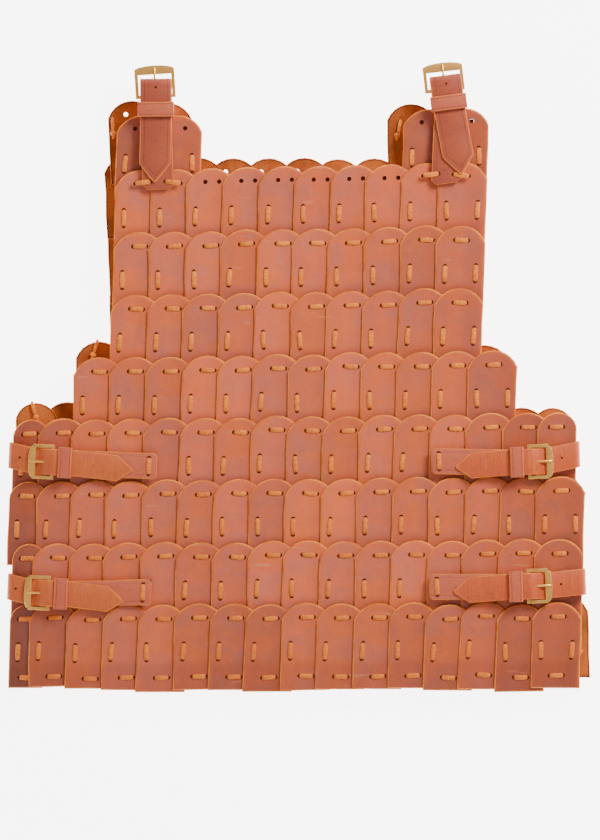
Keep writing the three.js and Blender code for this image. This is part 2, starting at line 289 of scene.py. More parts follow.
class Shade:
    """A material's node tree, built a node at a time."""

    def __init__(self, name: str) -> None:
        """Starts an empty material called name.

        Args:
            name: the material's name.
        """
        self.material = bpy.data.materials.new(name)
        self.material.use_nodes = True
        self.tree = self.material.node_tree
        self.tree.nodes.clear()

    def node(
        self,
        kind: str,
        settings: dict[str, object] | None = None,
        values: dict[int | str, object] | None = None,
        out: int | str = 0,
    ) -> Val:
        """Adds a node.

        Args:
            kind: the node's type.
            settings: its own properties, and "stops" for a ramp's stops.
            values: numbers, colours or links for its input sockets.
            out: the output to return.

        Returns:
            The output socket, wrapped.
        """
        made = self.tree.nodes.new(kind)
        for key, value in (settings or {}).items():
            if key == "stops":
                self.set_stops(made.color_ramp, value)
            else:
                setattr(made, key, value)
        for key, value in (values or {}).items():
            if isinstance(value, Val):
                self.tree.links.new(value.socket, made.inputs[key])
            elif value is not None:
                made.inputs[key].default_value = value
        return Val(self, made.outputs[out])

    @staticmethod
    def set_stops(ramp: bpy.types.ColorRamp, stops: Sequence[tuple[float, Colour]]) -> None:
        """Gives a colour ramp its stops.

        Args:
            ramp: the ramp.
            stops: each stop's place and colour.
        """
        while len(ramp.elements) < len(stops):
            ramp.elements.new(0.5)
        for element, (place, colour) in zip(ramp.elements, stops):
            element.position = place
            element.color = (*colour, 1.0)

    def object_place(self) -> Val:
        """Object coordinates, in metres."""
        return self.node("ShaderNodeTexCoord", out="Object")

    def tag(self, name: str) -> Val:
        """A number stored on the mesh."""
        return self.node("ShaderNodeAttribute", {"attribute_name": name}, out="Fac")

    def cut_place(self) -> tuple[Val, Val]:
        """Where a point lies on its flat cut, in millimetres across and along."""
        flat = self.node("ShaderNodeUVMap", {"uv_map": "cut"})
        parts = self.tree.nodes.new("ShaderNodeSeparateXYZ")
        self.tree.links.new(flat.socket, parts.inputs[0])
        return Val(self, parts.outputs[0]) * 100.0, Val(self, parts.outputs[1]) * 100.0

    def noise(
        self,
        scale: float,
        detail: float = 3.0,
        rough: float = 0.5,
        stretch: Colour | None = None,
    ) -> Val:
        """Cloudy noise.

        Args:
            scale: how many clouds to a metre.
            detail: how many finer layers are added.
            rough: how strong the finer layers are.
            stretch: scale along each axis before the noise is read.

        Returns:
            The noise, about 0 to 1.
        """
        place = self.object_place()
        if stretch:
            place = self.node("ShaderNodeMapping", None, {0: place, 3: stretch})
        return self.node(
            "ShaderNodeTexNoise",
            None,
            {"Vector": place, "Scale": scale, "Detail": detail, "Roughness": rough},
        )

    def pores(self, scale: float) -> Val:
        """Distance to the nearest pore of a leather grain."""
        return self.node("ShaderNodeTexVoronoi", None, {"Vector": self.object_place(), "Scale": scale})

    def blend(self, share: Val | float, first: Val | Colour, second: Val | Colour, kind: str = "MIX") -> Val:
        """Mixes two colours by share."""
        values = {0: share, 6: self.paint(first), 7: self.paint(second)}
        return self.node("ShaderNodeMix", {"data_type": "RGBA", "blend_type": kind}, values, out=2)

    @staticmethod
    def paint(colour: Val | Colour) -> Val | tuple[float, ...]:
        """Gives a plain colour its alpha."""
        return colour if isinstance(colour, Val) else (*colour, 1.0)

    def finish(self, bump: Val | None, depth: float, **sockets: object) -> bpy.types.Material:
        """Joins everything to one surface shader.

        Args:
            bump: the height that the bump follows, if there is one.
            depth: the bump's depth in metres.
            sockets: values of the shader's sockets, with underscores for spaces.

        Returns:
            The finished material.
        """
        values = {key.replace("_", " "): value for key, value in sockets.items()}
        if bump is not None:
            relief = {"Strength": 1.0, "Distance": depth, "Height": bump}
            values["Normal"] = self.node("ShaderNodeBump", None, relief)
        colour = values.get("Base Color")
        if isinstance(colour, tuple):
            values["Base Color"] = (*colour, 1.0)
        surface = self.node("ShaderNodeBsdfPrincipled", None, values)
        output = self.tree.nodes.new("ShaderNodeOutputMaterial")
        self.tree.links.new(surface.socket, output.inputs[0])
        return self.material


def colour_of(red: int, green: int, blue: int) -> Colour:
    """Turns a screen colour into a linear one.

    Args:
        red: red, 0 to 255.
        green: green, 0 to 255.
        blue: blue, 0 to 255.

    Returns:
        The linear colour.
    """
    return tuple(
        part / 12.92 if part <= 0.04045 else ((part + 0.055) / 1.055) ** 2.4
        for part in (red / 255, green / 255, blue / 255)
    )


@dataclass(frozen=True)
class GrainLeather:
    """Waxed grain side of the scales, each with its own tone, and worn along its cut; with a painted sheen at
    each scale's upper left and painted shade along its overlaps, on the side columns and on the hem.
    """

    name: str = "scale_grain"
    rose: Colour = colour_of(210, 92, 51)
    mauve: Colour = colour_of(188, 94, 70)
    orange: Colour = colour_of(214, 94, 34)
    # Dark brown, for the painted shade along the overlaps and for the grain's fine dark flecks.
    shade: Colour = colour_of(132, 50, 26)
    scuff: Colour = colour_of(226, 146, 104)
    cut: ScaleCut = SCALE

    def rim(self, shade: Shade) -> Val:
        """Distance in from the scale's cut edge, in millimetres.

        Args:
            shade: the tree that it is worked out in.

        Returns:
            The distance.
        """
        across, along = shade.cut_place()
        half = self.cut.width / 2
        off = (across - half).size()
        sides = half - off
        over = (along - self.cut.centre).high(0.0)
        arch = self.cut.radius - (off * off + over * over) ** 0.5
        return sides.low(arch)

    def make(self) -> bpy.types.Material:
        """Builds the material."""
        shade = Shade(self.name)
        tone_and_shade, hue = shade.tag("tone_and_shade"), shade.tag("hue")
        clouds = shade.noise(36.0, 4.0, 0.6)
        fine = shade.noise(160.0, 5.0, 0.6)
        sway = shade.noise(26.0, 1.0)
        mottle = shade.noise(75.0, 4.0, 0.65)
        across, along = shade.cut_place()
        base = shade.blend((hue * 0.5 + clouds.ramp(0.4, 0.62) * 0.75).low(1.0), self.rose, self.mauve)
        warm = shade.noise(24.0, 3.0).ramp(0.46, 0.64)
        base = shade.blend(warm * 0.7, base, self.orange)
        # Painted sheen: a mauve highlight over each scale's upper left.
        base = shade.blend((1.0 - across.ramp(4.0, 17.0)) * along.ramp(30.0, 60.0) * 0.4, base, self.mauve)
        # Painted shadow: darker towards the right edge, where the next scale lies over it.
        base = shade.blend(across.ramp(20.0, 36.0) * 0.22, base, self.shade)
        # Painted shade: darker over the foot, just above the arches of the row below.
        base = shade.blend((1.0 - along.ramp(18.0, 30.0)) * 0.3, base, self.shade)
        rim = self.rim(shade)
        rubbed = (1.0 - rim.ramp(0.4, 6.0)) * (0.3 + shade.noise(70.0, 3.0).ramp(0.4, 0.65) * 0.6)
        base = shade.blend(rubbed, base, self.orange)
        marks = shade.noise(60.0, 2.0, 0.5, (0.45, 2.6, 1.0)).ramp(0.7, 0.77)
        base = shade.blend(marks * 0.25, base, self.scuff)
        base = shade.blend(fine.ramp(0.55, 0.8) * 0.22, base, self.shade)
        # Lightness from each scale's own tone, which also carries painted shade on the side columns and the
        # hem, and from a mottle.
        level = 0.8 + tone_and_shade * 0.27 + mottle * 0.26
        grey = shade.node("ShaderNodeCombineColor", None, {0: level, 1: level, 2: level})
        base = shade.blend(1.0, base, grey, "MULTIPLY")
        pores = shade.pores(820.0)
        creases = shade.noise(240.0, 4.0, 0.6, (1.0, 0.45, 1.0))
        height = pores * 0.35 + creases * 0.65 + rim.ramp(0.0, 3.0) * 0.8 + sway * 4.0
        rough = 0.43 + fine * 0.16 + marks * 0.12
        return shade.finish(
            height,
            0.00035,
            Base_Color=base,
            Roughness=rough,
            Specular_IOR_Level=0.42,
            Coat_Weight=0.08,
            Coat_Roughness=0.35,
        )


@dataclass(frozen=True)
class RawEdge:
    """Cut edge of veg-tanned leather: bright tan, darker where it has been handled."""

    name: str = "raw_edge"
    tan: Colour = colour_of(244, 144, 54)
    dark: Colour = colour_of(180, 78, 24)

    def make(self) -> bpy.types.Material:
        """Builds the material."""
        shade = Shade(self.name)
        layers = shade.noise(700.0, 3.0, 0.6, (1.0, 1.0, 3.0))
        patches = shade.noise(45.0, 2.0)
        base = shade.blend(layers.ramp(0.3, 0.8) * 0.5, self.tan, self.dark)
        base = shade.blend(patches.ramp(0.42, 0.62) * 0.6, base, self.dark)
        return shade.finish(layers, 0.0003, Base_Color=base, Roughness=0.78, Specular_IOR_Level=0.2)


@dataclass(frozen=True)
class Flesh:
    """Suede flesh side: matt, fibrous and orange-brown."""

    name: str = "flesh_side"
    brown: Colour = colour_of(200, 106, 46)
    dark: Colour = colour_of(146, 70, 30)
    pale: Colour = colour_of(214, 130, 66)

    def make(self) -> bpy.types.Material:
        """Builds the material."""
        shade = Shade(self.name)
        nap = shade.noise(900.0, 4.0, 0.7)
        patches = shade.noise(30.0, 4.0, 0.6)
        base = shade.blend(patches.ramp(0.35, 0.7), self.brown, self.dark)
        base = shade.blend(nap.ramp(0.5, 0.75) * 0.4, base, self.pale)
        return shade.finish(nap, 0.0004, Base_Color=base, Roughness=0.92, Specular_IOR_Level=0.15)


@dataclass(frozen=True)
class Lace:
    """Cut leather lace, light tan, with a fibrous run along it."""

    name: str = "lace_leather"
    tan: Colour = colour_of(250, 142, 48)
    dark: Colour = colour_of(204, 94, 26)

    def make(self) -> bpy.types.Material:
        """Builds the material."""
        shade = Shade(self.name)
        tone_and_shade = shade.tag("tone_and_shade")
        fibres = shade.noise(420.0, 4.0, 0.65)
        base = shade.blend(fibres.ramp(0.4, 0.65) * 0.75, self.tan, self.dark)
        # Each lace's own darkness; on the scales' laces it also carries painted shade, darker in lower rows.
        base = shade.blend(tone_and_shade * 0.6, base, self.dark)
        return shade.finish(fibres, 0.0004, Base_Color=base, Roughness=0.72, Specular_IOR_Level=0.3)


@dataclass(frozen=True)
class PaintedHoleShade:
    """Painted shade for the inside of a hole: dark brown, near black in patches."""

    name: str = "painted_hole_shade"
    colour: Colour = colour_of(84, 36, 20)

    def make(self) -> bpy.types.Material:
        """Builds the material."""
        shade = Shade(self.name)
        depth = shade.noise(500.0, 2.0)
        base = shade.blend(depth.ramp(0.3, 0.8) * 0.5, self.colour, colour_of(40, 16, 8))
        return shade.finish(depth, 0.0002, Base_Color=base, Roughness=0.95, Specular_IOR_Level=0.1)


WEAR_TONES: dict[Wear, tuple[Colour, Colour, Colour]] = {
    Wear.SADDLE: (colour_of(192, 88, 42), colour_of(120, 48, 20), colour_of(204, 96, 40)),
    Wear.RUSSET: (colour_of(196, 82, 42), colour_of(126, 46, 22), colour_of(204, 88, 36)),
    Wear.COCOA: (colour_of(160, 72, 50), colour_of(98, 34, 20), colour_of(172, 78, 46)),
    Wear.PLUM: (colour_of(194, 94, 64), colour_of(122, 46, 30), colour_of(184, 84, 60)),
}


@dataclass(frozen=True)
class StrapLeather:
    """Smooth strap leather with a creased line near each edge, and worn pale along its cut."""

    name: str
    half: float
    base: Colour
    dark: Colour
    warm: Colour
    crease: float = 3.8
    crease_depth: float = 0.7
    scuffed: bool = False
    point: float = 0.0

    def rim(self, shade: Shade) -> Val:
        """Distance in from the strap's cut edge, in millimetres, round its point too if it has one.

        Args:
            shade: the tree that it is worked out in.

        Returns:
            The distance.
        """
        along, across = shade.cut_place()
        edge = self.half - across.size()
        if not self.point:
            return edge
        slope = self.half / (1.2 * self.half)
        return edge.low(((self.point - along) * slope - across.size()) * math.cos(math.atan(slope)))

    def make(self) -> bpy.types.Material:
        """Builds the material."""
        shade = Shade(self.name)
        rim = self.rim(shade)
        line = 1.0 - (rim - self.crease).size().ramp(0.2, 0.7)
        clouds = shade.noise(35.0, 4.0, 0.55)
        fine = shade.noise(300.0, 5.0, 0.6, (0.5, 1.0, 1.0))
        base = shade.blend(clouds.ramp(0.35, 0.7) * 0.7, self.base, self.warm)
        base = shade.blend(fine.ramp(0.5, 0.8) * 0.35, base, self.dark)
        height = fine * 0.4 + shade.pores(900.0) * 0.2 - line * self.crease_depth
        if self.scuffed:
            growth = shade.noise(110.0, 4.0, 0.65, (6.0, 0.5, 1.0))
            base = shade.blend(growth.ramp(0.52, 0.7) * 0.26, base, self.dark)
            base = shade.blend((1.0 - growth).ramp(0.55, 0.72) * 0.3, base, colour_of(232, 128, 48))
            height = height + growth * 0.9
        fuzz = 0.45 + shade.noise(160.0, 3.0).ramp(0.35, 0.6) * 0.4
        base = shade.blend((1.0 - rim.ramp(0.2, 1.4)) * fuzz, base, colour_of(228, 118, 44))
        base = shade.blend(line * self.crease_depth * 0.5, base, self.dark)
        return shade.finish(
            height,
            0.0004,
            Base_Color=base,
            Roughness=0.46 + fine * 0.15,
            Specular_IOR_Level=0.3,
        )


@dataclass(frozen=True)
class CastBrass:
    """Tumbled cast brass, brighter where it is rubbed."""

    name: str = "cast_brass"
    bright: Colour = colour_of(255, 190, 100)
    dull: Colour = colour_of(206, 132, 62)

    def make(self) -> bpy.types.Material:
        """Builds the material."""
        shade = Shade(self.name)
        clouds = shade.noise(90.0, 4.0, 0.6)
        fine = shade.noise(700.0, 3.0, 0.6)
        base = shade.blend(clouds.ramp(0.4, 0.75) * 0.6, self.bright, self.dull)
        rough = 0.26 + clouds * 0.16 + fine * 0.06
        return shade.finish(fine, 0.00012, Base_Color=base, Metallic=1.0, Roughness=rough)


@dataclass(frozen=True)
class PaleTable:
    """The pale surface that the armour lies on."""

    name: str = "pale_table"

    def make(self) -> bpy.types.Material:
        """Builds the material."""
        shade = Shade(self.name)
        grain = shade.noise(12.0, 2.0)
        base = shade.blend(grain, (0.90, 0.90, 0.90), (0.93, 0.93, 0.93))
        return shade.finish(
            None,
            0.0,
            Base_Color=base,
            Roughness=0.9,
            Specular_IOR_Level=0.1,
            Emission_Color=(1.0, 1.0, 1.0, 1.0),
            Emission_Strength=6.0,
        )


# Tools of the bench


class Bench:
    """Starts primitives and shapes them in edit mode."""

    @staticmethod
    def clear() -> None:
        """Leaves edit mode and deselects everything."""
        if bpy.context.object and bpy.context.object.mode != "OBJECT":
            bpy.ops.object.mode_set(mode="OBJECT")
        bpy.ops.object.select_all(action="DESELECT")

    @classmethod
    def take(cls, *pieces: bpy.types.Object) -> None:
        """Makes pieces the only ones selected, the first of them active."""
        cls.clear()
        for piece in pieces:
            piece.select_set(True)
        bpy.context.view_layer.objects.active = pieces[0]

    @classmethod
    def edit(cls, piece: bpy.types.Object, kind: str = "VERT") -> None:
        """Opens piece in edit mode.

        Args:
            piece: the piece to open.
            kind: what is selected, vertices, edges or faces.
        """
        cls.take(piece)
        bpy.ops.object.mode_set(mode="EDIT")
        bpy.ops.mesh.select_mode(type=kind)

    @staticmethod
    def close() -> None:
        """Goes back to object mode."""
        bpy.ops.object.mode_set(mode="OBJECT")

    @staticmethod
    def pick(piece: bpy.types.Object, test: Callable[[Vector], bool]) -> int:
        """Selects the vertices of piece whose place passes test.

        Args:
            piece: the piece, open in edit mode.
            test: whether a vertex at this place is selected.

        Returns:
            How many are selected.
        """
        mesh = bmesh.from_edit_mesh(piece.data)
        mesh.select_mode = {"VERT"}
        for vertex in mesh.verts:
            vertex.select_set(False)
        mesh.select_flush(False)
        found = [vertex for vertex in mesh.verts if test(vertex.co)]
        for vertex in found:
            vertex.select_set(True)
        mesh.select_flush(True)
        bmesh.update_edit_mesh(piece.data)
        return len(found)

    @staticmethod
    def pick_faces(piece: bpy.types.Object, test: Callable[[Vector, Vector], bool]) -> int:
        """Selects the faces of piece whose middle and normal pass test.

        Args:
            piece: the piece, open in edit mode.
            test: whether a face with this middle and normal is selected.

        Returns:
            How many are selected.
        """
        bpy.ops.mesh.select_mode(type="FACE")
        mesh = bmesh.from_edit_mesh(piece.data)
        for face in mesh.faces:
            face.select_set(False)
        found = [face for face in mesh.faces if test(face.calc_center_median(), face.normal)]
        for face in found:
            face.select_set(True)
        bmesh.update_edit_mesh(piece.data)
        return len(found)

    @classmethod
    def apply(cls, piece: bpy.types.Object, kind: str, **settings: object) -> None:
        """Adds a modifier to piece and applies it.

        Args:
            piece: the piece.
            kind: the modifier's type.
            settings: its settings.
        """
        cls.take(piece)
        modifier = piece.modifiers.new(kind.lower(), kind)
        for key, value in settings.items():
            setattr(modifier, key, value)
        bpy.ops.object.modifier_apply(modifier=modifier.name)

    @staticmethod
    def lay_out(piece: bpy.types.Object, place: Callable[[Vector], tuple[float, float]]) -> None:
        """Gives piece the flat cut's coordinates, in tenths of a metre, from the place of each vertex.

        Args:
            piece: the piece.
            place: the flat place of a vertex at this place.
        """
        layer = piece.data.uv_layers.new(name="cut") if "cut" not in piece.data.uv_layers else None
        layer = layer or piece.data.uv_layers["cut"]
        for loop in piece.data.loops:
            layer.data[loop.index].uv = place(piece.data.vertices[loop.vertex_index].co)

    @classmethod
    def smooth(cls, piece: bpy.types.Object, angle: float = 40.0) -> None:
        """Shades piece smooth, except over edges sharper than angle."""
        cls.take(piece)
        bpy.ops.object.shade_smooth_by_angle(angle=math.radians(angle))

    @staticmethod
    def copy(template: bpy.types.Object, name: str, place: Matrix) -> bpy.types.Object:
        """Copies template with a mesh of its own, set at place.

        Args:
            template: the piece that was modelled once.
            name: the copy's name.
            place: where the copy goes; a mirroring place has its faces turned back out.

        Returns:
            The copy.
        """
        made = bpy.data.objects.new(name, template.data.copy())
        made.data.transform(place)
        if place.determinant() < 0:
            made.data.flip_normals()
        bpy.context.scene.collection.objects.link(made)
        return made

    @staticmethod
    def tag(piece: bpy.types.Object, name: str, value: float) -> None:
        """Stores one number on all of piece, for its material to read."""
        layer = piece.data.attributes.new(name, "FLOAT", "POINT")
        layer.data.foreach_set("value", [value] * len(piece.data.vertices))

    @classmethod
    def join(cls, name: str, pieces: Sequence[bpy.types.Object]) -> bpy.types.Object:
        """Joins pieces into one, called name.

        Args:
            name: the joined piece's name.
            pieces: the pieces.

        Returns:
            The joined piece.
        """
        cls.take(*pieces)
        if len(pieces) > 1:
            bpy.ops.object.join()
        whole = bpy.context.view_layer.objects.active
        whole.name = name
        whole.data.name = name
        return whole

    @classmethod
    def bin(cls, *templates: bpy.types.Object) -> None:
        """Removes templates that were only copied from."""
        cls.clear()
        for template in templates:
            bpy.data.objects.remove(template, do_unlink=True)

    @classmethod
    def strip(cls, name: str, stations: Sequence[Station]) -> bpy.types.Object:
        """Lays a flat strip along stations by extruding its end edge from one to the next.

        Args:
            name: the strip's name.
            stations: (along, up, half width) in millimetres.

        Returns:
            The strip, one sheet of faces, with its flat cut's coordinates.
        """
        cls.clear()
        along, up, half = stations[0]
        bpy.ops.mesh.primitive_plane_add(size=2 * half * MM, location=(0, 0, 0))
        piece = bpy.context.object
        piece.name = name
        cls.edit(piece)
        cls.pick(piece, lambda co: co.x > 0)
        bpy.ops.mesh.delete(type="VERT")
        bpy.ops.mesh.select_all(action="SELECT")
        bpy.ops.transform.translate(value=((along + half) * MM, 0, up * MM))
        for (x0, z0, h0), (x1, z1, h1) in zip(stations, stations[1:]):
            step = ((x1 - x0) * MM, 0, (z1 - z0) * MM)
            bpy.ops.mesh.extrude_region_move(TRANSFORM_OT_translate={"value": step})
            if h1 != h0:
                bpy.ops.transform.resize(value=(1, h1 / h0, 1), center_override=(x1 * MM, 0, z1 * MM))
        cls.close()
        run = [0.0]
        for (x0, z0, _), (x1, z1, _) in zip(stations, stations[1:]):
            run.append(run[-1] + math.hypot(x1 - x0, z1 - z0))

        def flat(co: Vector) -> tuple[float, float]:
            """Length along the strip and place across it.

            Args:
                co: the vertex's place.

            Returns:
                Both, in tenths of a metre.
            """
            near = min(
                range(len(stations)),
                key=lambda i: (co.x / MM - stations[i][0]) ** 2 + (co.z / MM - stations[i][1]) ** 2,
            )
            return run[near] / 100, co.y / MM / 100

        cls.lay_out(piece, flat)
        return piece


def dress(piece: bpy.types.Object, *materials: bpy.types.Material) -> None:
    """Gives a piece without materials its own, in the order of its faces' slots."""
    for material in materials:
        piece.data.materials.append(material)


def seat(piece: bpy.types.Object, node: str | None = None) -> None:
    """Gives piece to the armour's one body.

    Args:
        piece: the finished piece.
        node: the plain solid that it stands for, if there is one.
    """
    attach(piece, "root")
    if node:
        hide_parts(node)


def spin_z(degrees: float) -> Matrix:
    """A turn about the upright."""
    return Matrix.Rotation(math.radians(degrees), 4, "Z")


# The finishes in use


@dataclass(frozen=True)
class Wardrobe:
    """Every finish of the armour, made once."""

    grain: bpy.types.Material = field(default_factory=lambda: GrainLeather().make())
    edge: bpy.types.Material = field(default_factory=lambda: RawEdge().make())
    flesh: bpy.types.Material = field(default_factory=lambda: Flesh().make())
    lace: bpy.types.Material = field(default_factory=lambda: Lace().make())
    # The dark finish for holes: painted shade.
    hole: bpy.types.Material = field(default_factory=lambda: PaintedHoleShade().make())
    brass: bpy.types.Material = field(default_factory=lambda: CastBrass().make())
    table: bpy.types.Material = field(default_factory=lambda: PaleTable().make())


# Scales and lacing


@dataclass
class ScalePattern:
    """Cuts the scales, the stitches and the holes that every row is made from."""

    wardrobe: Wardrobe
    cut: ScaleCut = SCALE
    chance: random.Random = field(default_factory=lambda: random.Random(11))

    def dye(self, piece: bpy.types.Object) -> None:
        """Gives piece a scale's finishes: grain, cut edge, flesh and painted shade for the inside of its holes.
        """
        dress(piece, self.wardrobe.grain, self.wardrobe.edge, self.wardrobe.flesh, self.wardrobe.hole)

    def outline(self, wide: float, hem: float) -> bpy.types.Object:
        """Shapes a scale's flat outline: the top of a circle over hand-cut sides and foot.

        Args:
            wide: the scale's width.
            hem: how much longer it is than the pattern.

        Returns:
            The flat face, its foot on y = 0.
        """
        cut = self.cut
        half = wide / 2
        radius = (half * half + cut.arch_rise**2) / (2 * cut.arch_rise)
        spring = cut.height - cut.arch_rise
        level = cut.thickness - cut.rub_depth
        Bench.clear()
        bpy.ops.mesh.primitive_circle_add(
            vertices=26,
            radius=radius * MM,
            fill_type="NGON",
            location=(half * MM, (cut.height - radius) * MM, level * MM),
        )
        piece = bpy.context.object
        piece.name = "scale_pattern"
        bpy.ops.object.transform_apply(location=True)
        Bench.edit(piece)
        bpy.ops.mesh.select_all(action="SELECT")
        bpy.ops.mesh.bisect(plane_co=(0, spring * MM, 0), plane_no=(0, 1, 0), clear_inner=True, threshold=1e-6)
        Bench.pick(piece, lambda co: abs(co.y - spring * MM) < 1e-5)
        bpy.ops.mesh.extrude_region_move(TRANSFORM_OT_translate={"value": (0, -spring * MM, 0)})
        for part in (0.36, 0.7):
            bpy.ops.mesh.select_all(action="SELECT")
            bpy.ops.mesh.bisect(plane_co=(0, spring * part * MM, 0), plane_no=(0, 1, 0), threshold=1e-6)
        for part in (0.0, 0.36, 0.7, 1.0):
            for side in (0.0, wide):
                Bench.pick(piece, lambda co, y=spring * part, x=side: abs(co.y / MM - y) < 0.05
                           and abs(co.x / MM - x) < 0.05)
                drift = (self.chance.uniform(-0.55, 0.55) * MM, 0, 0)
                if part == 0.0:
                    drift = (drift[0], (self.chance.uniform(-0.5, 0.5) - hem) * MM, 0)
                bpy.ops.transform.translate(value=drift)
        return piece

    def scale(
        self,
        width: float | None = None,
        droop: tuple[float, float] | None = None,
        holes: Sequence[tuple[float, float]] = (),
        hem: float = 0.0,
    ) -> bpy.types.Object:
        """Models one scale lying flat, its foot on y = 0 and its flesh side on z = 0.

        Args:
            width: the width that is left of the pattern, from its left edge, if it is cut down.
            droop: how far in the left part is folded down, and how far its edge hangs.
            holes: the places of open holes.
            hem: how much longer it is than the pattern.

        Returns:
            The scale, with faces for grain, cut edge and flesh.
        """
        cut = self.cut
        wide = width or cut.width
        half = wide / 2
        piece = self.outline(wide, hem)
        self.dye(piece)
        bpy.ops.mesh.select_all(action="SELECT")
        bpy.ops.mesh.normals_make_consistent(inside=False)
        bpy.ops.mesh.inset(thickness=cut.rub * MM, depth=0, use_even_offset=True)
        mesh = bmesh.from_edit_mesh(piece.data)
        for face in mesh.faces:
            face.material_index = 0 if face.select else 1
        bpy.ops.transform.translate(value=(0, 0, cut.rub_depth * MM))
        for part in (0.3, 0.7):
            bpy.ops.mesh.select_all(action="SELECT")
            bpy.ops.mesh.bisect(plane_co=(wide * part * MM, 0, 0), plane_no=(1, 0, 0), threshold=1e-6)
        crown, grain = wide * 0.2 + 0.1, cut.thickness - 0.1
        Bench.pick(piece, lambda co: abs(co.x / MM - half) < crown and co.z / MM > grain)
        bpy.ops.transform.translate(value=(0, 0, cut.crown * MM))
        if droop:
            self.fold_down(piece, *droop)
        Bench.close()
        if sum(face.normal.z for face in piece.data.polygons) < 0:
            piece.data.flip_normals()
        Bench.lay_out(piece, lambda co: (co.x / MM / 100, co.y / MM / 100))
        Bench.apply(
            piece,
            "SOLIDIFY",
            thickness=(cut.thickness - cut.rub_depth) * MM,
            offset=-1.0,
            material_offset=2,
            material_offset_rim=1,
        )
        for x, y in holes:
            self.punch(piece, x, y)
        return piece

    def fold_down(self, piece: bpy.types.Object, shown: float, drop: float) -> None:
        """Folds the part left of shown down, so that its edge hangs by drop.

        Args:
            piece: the scale.
            shown: where the fold starts, across the scale.
            drop: how far its edge hangs.
        """
        bpy.ops.mesh.select_all(action="SELECT")
        bpy.ops.mesh.bisect(plane_co=(shown * MM, 0, 0), plane_no=(1, 0, 0), threshold=1e-6)
        Bench.pick(piece, lambda co: co.x / MM < shown - 0.05)
        angle = math.atan2(drop, shown)
        hinge = (shown * MM, 0, self.cut.thickness * MM)
        bpy.ops.transform.rotate(value=angle, orient_axis="Y", orient_type="GLOBAL", center_override=hinge)
        bpy.ops.transform.resize(value=(1 / math.cos(angle), 1, 1), center_override=hinge)

    def hang(self, shown: float, drop: float) -> Matrix:
        """The matrix that does to a stitch what fold_down does to its scale.

        Args:
            shown: where the fold starts, across the scale.
            drop: how far its edge hangs.

        Returns:
            The matrix.
        """
        angle = math.atan2(drop, shown)
        hinge = Matrix.Translation((shown * MM, 0, self.cut.thickness * MM))
        stretch = Matrix.Diagonal((1 / math.cos(angle), 1, 1, 1))
        return hinge @ stretch @ Matrix.Rotation(-angle, 4, "Y") @ hinge.inverted()

    def punch(self, piece: bpy.types.Object, x: float, y: float) -> None:
        """Punches an open round hole at x, y.

        Args:
            piece: the scale.
            x: the hole's place across.
            y: the hole's place along.
        """
        Bench.clear()
        there = (x * MM, y * MM, 0)
        bpy.ops.mesh.primitive_cylinder_add(vertices=10, radius=2.2 * MM, depth=20 * MM, location=there)
        punch = bpy.context.object
        bpy.ops.object.transform_apply(location=True)
        self.dye(punch)
        # The hole's walls take the dark hole finish: painted shade inside the hole.
        for face in punch.data.polygons:
            face.material_index = 3
        Bench.apply(piece, "BOOLEAN", operation="DIFFERENCE", object=punch, solver="EXACT")
        Bench.bin(punch)

    def crown_at(self, x: float, wide: float) -> float:
        """Height of the grain at x, over the flat pattern's underside.

        Args:
            x: the place across the scale.
            wide: the scale's width.

        Returns:
            The height in millimetres.
        """
        half = wide / 2
        off = abs(x - half)
        flat, edge = wide * 0.2, half - self.cut.rub
        share = 1.0 if off <= flat else max(0.0, (edge - off) / (edge - flat))
        return self.cut.thickness + self.cut.crown * share

    def stitch(self, length: float) -> bpy.types.Object:
        """Models a lace stitch along x, standing over z = 0 and diving through its two holes.

        Args:
            length: the stitch's length between its holes.

        Returns:
            The stitch.
        """
        half = length / 2
        stations = [
            (-half - 0.2, -1.2, 1.5),
            (-half + 0.3, 0.2, 2.0),
            (-half + 2.0, 1.0, 2.3),
            (0.0, 1.2, 2.4),
            (half - 2.0, 1.0, 2.3),
            (half - 0.3, 0.2, 2.0),
            (half + 0.2, -1.2, 1.5),
        ]
        piece = Bench.strip("stitch_pattern", stations)
        Bench.apply(piece, "SOLIDIFY", thickness=1.3 * MM, offset=-1.0)
        sharp = math.radians(60)
        Bench.apply(piece, "BEVEL", width=0.6 * MM, segments=1, limit_method="ANGLE", angle_limit=sharp)
        return piece

    def knot(self) -> bpy.types.Object:
        """Models the knot that ends a lace: a bead on z = 0, its strand along y and a short tail under it."""
        Bench.clear()
        bpy.ops.mesh.primitive_uv_sphere_add(segments=10, ring_count=6, radius=1.0, location=(0, 0, 0))
        bead = bpy.context.object
        Bench.edit(bead)
        bpy.ops.mesh.select_all(action="SELECT")
        bpy.ops.transform.resize(value=(3.0 * MM, 2.7 * MM, 1.7 * MM), center_override=(0, 0, 0))
        bpy.ops.transform.translate(value=(0, 0, 1.5 * MM))
        Bench.close()
        strands = [bead]
        for side, stations in (
            (1, [(1.0, 1.4, 1.2), (5.0, 1.9, 1.5), (11.0, 1.6, 1.5), (15.6, 0.3, 1.3)]),
            (-1, [(1.0, 1.4, 1.3), (3.4, 1.5, 1.6), (5.4, 0.9, 1.2)]),
        ):
            strand = Bench.strip("strand", stations)
            Bench.apply(strand, "SOLIDIFY", thickness=1.1 * MM, offset=0.0)
            Bench.apply(strand, "BEVEL", width=0.4 * MM, segments=1, limit_method="ANGLE", angle_limit=1.0)
            strand.data.transform(spin_z(90.0 * side + 6.0))
            strands.append(strand)
        return Bench.join("knot_pattern", strands)

